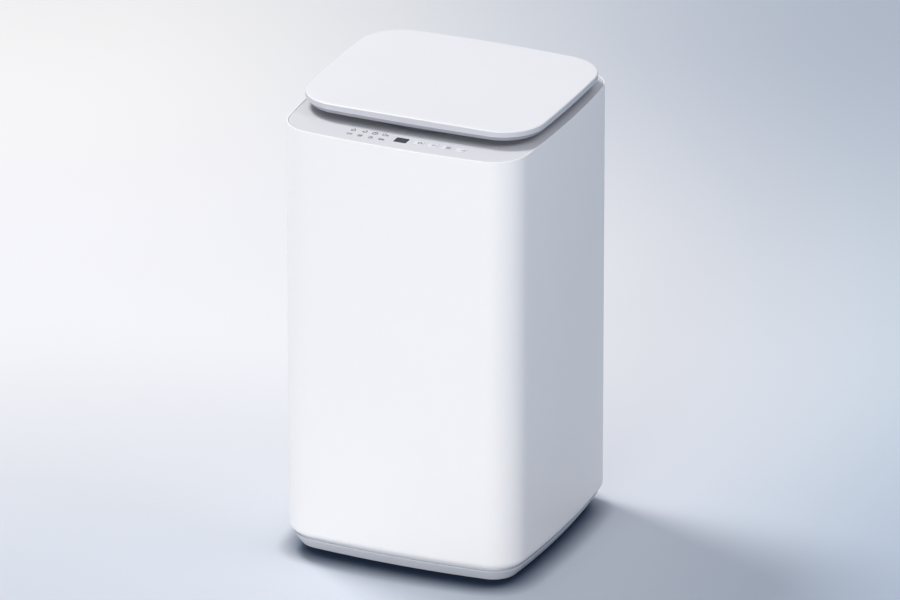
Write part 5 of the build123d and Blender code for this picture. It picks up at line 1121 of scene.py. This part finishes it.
# barbs of the drain spigot: each one swells slowly and drops back at once, so the hose holds
spigot = dict(root=12.1, crest=13.2, pitch=4.6, end=boxOf("drain_elbow")[1][1])
barbTeeth = [(spigot["crest"], pocketFloor + 0.6)]
for k in range(3):
    y = spigot["end"] - (3 - k) * spigot["pitch"]
    barbTeeth += [(spigot["crest"], y), (spigot["root"], y + 0.3),
                  (spigot["crest"] - 0.25, y + spigot["pitch"] - 0.5)]
barbTeeth[-1] = (spigot["root"] - 0.3, spigot["end"] + 0.3)
drainElbow = solidCopy("drain_elbow", "drainElbow", blackPolyamide)
turnDown(drainElbow, barbTeeth, panel["drain"])
place(drainElbow, "cabinet", "dark_plastic", "drain_elbow")

gland = dict(body=7.98, head=10.0, headLength=4.0, neck=10.0, bore=3.6)
glandSeat, neckEnd, headEnd = panelBack + 0.02, panelBack - gland["neck"], panelBack + gland["headLength"]
glandProfile = filleted([(gland["bore"], neckEnd, 0), (gland["body"], neckEnd, 0.5), (gland["body"], glandSeat, 0),
                         (gland["head"], glandSeat, 0.3), (gland["head"], panelBack + 2.2, 0.5),
                         (gland["body"] - 1.18, headEnd, 0.8), (gland["bore"], headEnd, 0.6)], steps=4, hold=0.4)
cordGland = turned("cordGland", glandProfile, panel["gland"], blackPolyamide, 48, axis="y")
place(cordGland, "cabinet", "dark_plastic", "cord_gland")
print("rear made")

# Drum: perforated stainless wall, made from one cell with a round hole

drumLow, drumHigh = boxOf("basket_wall")
drum = dict(radius=(drumHigh[0] - drumLow[0]) / 2, wall=1.2, columns=64, rows=24, hole=2.1, low=236.0)
drum["cell"] = 2 * math.pi * (drum["radius"] - drum["wall"] / 2) / drum["columns"]
tubY = deck["tubY"]

sheetTree, given = nodeTree("perforatedSheet", [
    ("Cell", "Float"), ("Hole radius", "Float"), ("Columns", "Int"), ("Rows", "Int"), ("Drum radius", "Float"),
    ("Middle", "Vector"), ("Material", "Material")])
square = addNode(sheetTree, "GeometryNodeCurvePrimitiveQuadrilateral", {
    "Width": given["Cell"], "Height": given["Cell"]})
ring = addNode(sheetTree, "GeometryNodeCurvePrimitiveCircle", {
    "Resolution": 10, "Radius": given["Hole radius"]})
pair = addNode(sheetTree, "GeometryNodeJoinGeometry")
for curve in (square, ring):
    sheetTree.links.new(curve.outputs["Curve"], pair.inputs["Geometry"])
cell = addNode(sheetTree, "GeometryNodeFillCurve", {"Curve": pair})
net = spacedGrid(sheetTree, given, (given["Cell"], given["Cell"]))
flatSheet = realCopies(sheetTree, net, cell)
where = addNode(sheetTree, "GeometryNodeInputPosition")
axes = addNode(sheetTree, "ShaderNodeSeparateXYZ", {"Vector": where})
angle = addNode(sheetTree, "ShaderNodeMath", {0: axes.outputs["X"], 1: given["Drum radius"]}, operation="DIVIDE")
bends = []
for wave in ("SINE", "COSINE"):
    share = addNode(sheetTree, "ShaderNodeMath", {0: angle}, operation=wave)
    bends.append(addNode(sheetTree, "ShaderNodeMath", {0: share, 1: given["Drum radius"]}, operation="MULTIPLY"))
bent = addNode(sheetTree, "ShaderNodeCombineXYZ", {"X": bends[0], "Y": bends[1], "Z": axes.outputs["Y"]})
moved = addNode(sheetTree, "ShaderNodeVectorMath", {0: bent, 1: given["Middle"]}, operation="ADD")
rolled = addNode(sheetTree, "GeometryNodeSetPosition", {"Geometry": flatSheet, "Position": moved})
closeTree(sheetTree, given, addNode(sheetTree, "GeometryNodeMergeByDistance", {
    "Geometry": rolled, "Distance": 0.02 * mm}))

sheetHeight = drum["rows"] * drum["cell"]
drumWall = startPiece("drumWall", rolledStainless)
sheetRadius = drum["radius"] - drum["wall"] / 2
runTree(drumWall, sheetTree, {
    "Cell": drum["cell"] * mm, "Hole radius": drum["hole"] * mm, "Columns": drum["columns"], "Rows": drum["rows"],
    "Drum radius": sheetRadius * mm, "Middle": (0.0, tubY * mm, (drum["low"] + sheetHeight / 2) * mm),
    "Material": rolledStainless})
# plain bands above and below share the perforated part's edge points
edgeAngles = [(k - drum["columns"] / 2) * 2 * math.pi / drum["columns"] for k in range(drum["columns"])]


def drumBand(levels):
    return loft("band", [[(sheetRadius * math.sin(a), tubY + sheetRadius * math.cos(a), z) for a in edgeAngles]
                         for z in levels], rolledStainless)


def closeSeams(work):
    weld(work, 0.05 * mm)
    bmesh.ops.recalc_face_normals(work, faces=work.faces)


joinInto(drumWall, [drumBand([drumLow[2], drumLow[2] + 12, drum["low"]]),
                    drumBand([drum["low"] + sheetHeight, drumHigh[2] - 6, drumHigh[2]])])
editMesh(drumWall.data, closeSeams)
sheet = drumWall.modifiers.new("sheet", "SOLIDIFY")
sheet.thickness = drum["wall"] * mm
sheet.offset = 0
takeResult(drumWall, 40)
place(drumWall, "basket", "drum_steel", "basket_wall")
print("drum wall made:", len(drumWall.data.polygons), "faces")

# Brushes: one tree plants tufts of nylon strands on the faces of a base surface

tuftTree, given = nodeTree("brushTufts", [
    ("Geometry", "Geometry"), ("Strand length", "Float"), ("Root radius", "Float"), ("Tip radius", "Float"),
    ("Tuft width", "Float"), ("Lean", "Float"), ("Seed", "Int"), ("Material", "Material")])
caught = addNode(tuftTree, "GeometryNodeCaptureAttribute", {"Geometry": given["Geometry"]})
caught.capture_items.new("VECTOR", "Facing")
facing = addNode(tuftTree, "GeometryNodeInputNormal")
tuftTree.links.new(facing.outputs["Normal"], caught.inputs["Facing"])
spots = addNode(tuftTree, "GeometryNodeMeshToPoints", {"Mesh": caught}, mode="FACES")
strand = addNode(tuftTree, "GeometryNodeMeshCone", {
    "Vertices": 3, "Radius Top": given["Tip radius"], "Radius Bottom": given["Root radius"],
    "Depth": given["Strand length"]}, fill_type="NGON")
nest = addNode(tuftTree, "GeometryNodeMeshGrid", {
    "Size X": given["Tuft width"], "Size Y": given["Tuft width"], "Vertices X": 3, "Vertices Y": 3})


fullTurn = 6.283
# each strand leans a little its own way, then each tuft turns about the surface's normal and differs in length
leanBack = addNode(tuftTree, "ShaderNodeMath", {0: given["Lean"], 1: -1.0}, operation="MULTIPLY")
leanLow = addNode(tuftTree, "ShaderNodeCombineXYZ", {"X": leanBack, "Y": leanBack, "Z": -3.0})
leanHigh = addNode(tuftTree, "ShaderNodeCombineXYZ", {"X": given["Lean"], "Y": given["Lean"], "Z": 3.0})
lean, spin, length = [
    addNode(tuftTree, "FunctionNodeRandomValue", {"Min": low, "Max": high, "Seed": given["Seed"]},
            data_type="FLOAT_VECTOR")
    for low, high in ((leanLow, leanHigh), ((0.0, 0.0, 0.0), (0.0, 0.0, fullTurn)),
                      ((1.0, 1.0, 0.93), (1.0, 1.0, 1.0)))]
tuftMesh = realCopies(tuftTree, nest, strand, Rotation=lean)
aligned = addNode(tuftTree, "FunctionNodeAlignRotationToVector", {"Vector": caught.outputs["Facing"]}, axis="Z")
turnedBy = addNode(tuftTree, "FunctionNodeRotateRotation", {
    "Rotation": aligned, "Rotate By": spin}, rotation_space="LOCAL")
closeTree(tuftTree, given, realCopies(tuftTree, spots, tuftMesh, Rotation=turnedBy, Scale=length))


def plantTufts(piece, brush, strandLength):
    runTree(piece, tuftTree, {
        "Strand length": strandLength * mm, "Root radius": brush["root"] * mm, "Tip radius": brush["tip"] * mm,
        "Tuft width": brush["width"] * mm, "Lean": brush["lean"], "Seed": brush["seed"], "Material": nylonFilament})


# strands are drawn about twice their real 0.25 mm so that they show
columnLow, columnHigh = boxOf("column_bristles")
columnBrush = dict(coreRadius=20.0, around=20, pitch=6.2, width=3.6, root=0.42, tip=0.22, lean=0.09, seed=7)
core, around = columnBrush["coreRadius"], columnBrush["around"]
rowsUp = int((columnHigh[2] - columnLow[2]) / columnBrush["pitch"])
points, faces = [], []
for j in range(rowsUp + 1):
    z = columnLow[2] + (columnHigh[2] - columnLow[2]) * j / rowsUp
    for i in range(around):
        a = 2 * math.pi * (i + 0.5 * j) / around  # each row half a step on, so tufts stand in quincunx
        points.append((core * math.cos(a), tubY + core * math.sin(a), z))
        if j < rowsUp:
            low, after = j * around, (i + 1) % around
            faces.append((low + i, low + after, low + around + after, low + around + i))
columnTufts = makePiece("columnBristles", points, faces, nylonFilament)
plantTufts(columnTufts, columnBrush, (columnHigh[0] - columnLow[0]) / 2 - core - 0.4)
place(columnTufts, "agitator", "bristle", "column_bristles")

stripLow, stripHigh = boxOf("strip_bristles")
stripBrush = dict(count=5, first=30.0, step=60.0, face=138.3, depth=12.3, halfWidth=8.0, across=3, pitch=5.4,
                  width=3.2, root=0.42, tip=0.24, lean=0.08, seed=11)
points, faces = [], []
upSteps = int((stripHigh[2] - stripLow[2]) / stripBrush["pitch"])
for k in range(stripBrush["count"]):
    a = math.radians(stripBrush["first"] + k * stripBrush["step"])
    outward, sideways = Vector((math.cos(a), math.sin(a))), Vector((-math.sin(a), math.cos(a)))
    base = len(points)
    for j in range(upSteps + 1):
        z = stripLow[2] + (stripHigh[2] - stripLow[2]) * j / upSteps
        for i in range(stripBrush["across"] + 1):
            off = (2 * i / stripBrush["across"] - 1) * stripBrush["halfWidth"]
            spot = outward * stripBrush["face"] + sideways * off
            points.append((spot.x, tubY + spot.y, z))
    n = stripBrush["across"] + 1
    for j in range(upSteps):
        for i in range(stripBrush["across"]):
            p = base + j * n + i
            faces.append((p, p + n, p + n + 1, p + 1))
mesh = bpy.data.meshes.new("stripBristles")
mesh.from_pydata([(x * mm, y * mm, z * mm) for x, y, z in points], [], faces)
stripTufts = linkObject("stripBristles", mesh)
plantTufts(stripTufts, stripBrush, stripBrush["depth"] - 0.3)
place(stripTufts, "basket", "bristle", "strip_bristles")
print("brushes made:", len(columnTufts.data.polygons), len(stripTufts.data.polygons), "faces")

# Solids whose shape is already right keep their mesh and get their finish
nodeFinishes = {
    "hinge_pins": groundSteel, "lid_switch": blackPolyamide, "control_tray": innerPolypropylene,
    "control_board": coatedCircuitBoard, "run_capacitor": innerPolypropylene,
    "suspension_shelves": innerPolypropylene,
    "suspension_rods": groundSteel, "lid_magnet": groundSteel, "outer_tub": tubPolypropylene,
    "tub_cover": tubPolypropylene, "suspension_cups": blackPolyamide, "suspension_springs": oiledSpringSteel,
    "support_plate": zincPlatedSteel, "clutch_housing": dieCastAluminium, "shaft_bearings": oiledSpringSteel,
    "motor_housing": dieCastAluminium, "motor_stator": enamelledCopper, "drive_belt": moldedBellowsRubber,
    "drain_valve_body": innerPolypropylene, "drain_bellows": moldedBellowsRubber,
    "traction_motor": blackPolyamide, "basket_floor": tubPolypropylene, "balance_ring": tubPolypropylene,
    "spin_tube": groundSteel, "brush_holders": brushPolypropylene, "filter_rails": tubPolypropylene,
    "lint_filter": brushPolypropylene, "pulsator": brushPolypropylene, "brush_core": brushPolypropylene,
    "column_cap": brushPolypropylene, "agitator_shaft": groundSteel, "drive_pulley": dieCastAluminium,
    "motor_rotor": oiledSpringSteel, "motor_pulley": oiledSpringSteel, "traction_rod": groundSteel,
    "drain_plunger": moldedBellowsRubber, "clutch_lever": zincPlatedSteel, "clutch_sleeve": oiledSpringSteel,
}
for nodeName, finish in nodeFinishes.items():
    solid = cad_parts[nodeName]
    if not solid.material_slots:
        solid.data.materials.append(finish)
    for slot in solid.material_slots:
        slot.link = "OBJECT"
        slot.material = finish
print("finishes given to", len(nodeFinishes), "solids")

# the suspension springs and the drain bellows stretch between the cabinet and the moving tub
stretches = {"suspension_springs": ("suspensionSprings", "spring_steel", 195.0),
             "drain_bellows": ("drainBellows", "belt_rubber", 99.0)}
for nodeName, (name, slotName, fixedEnd) in stretches.items():
    copy = solidCopy(nodeName, name, nodeFinishes[nodeName])
    low, high = boxOf(nodeName)
    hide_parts(nodeName)
    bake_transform(copy)
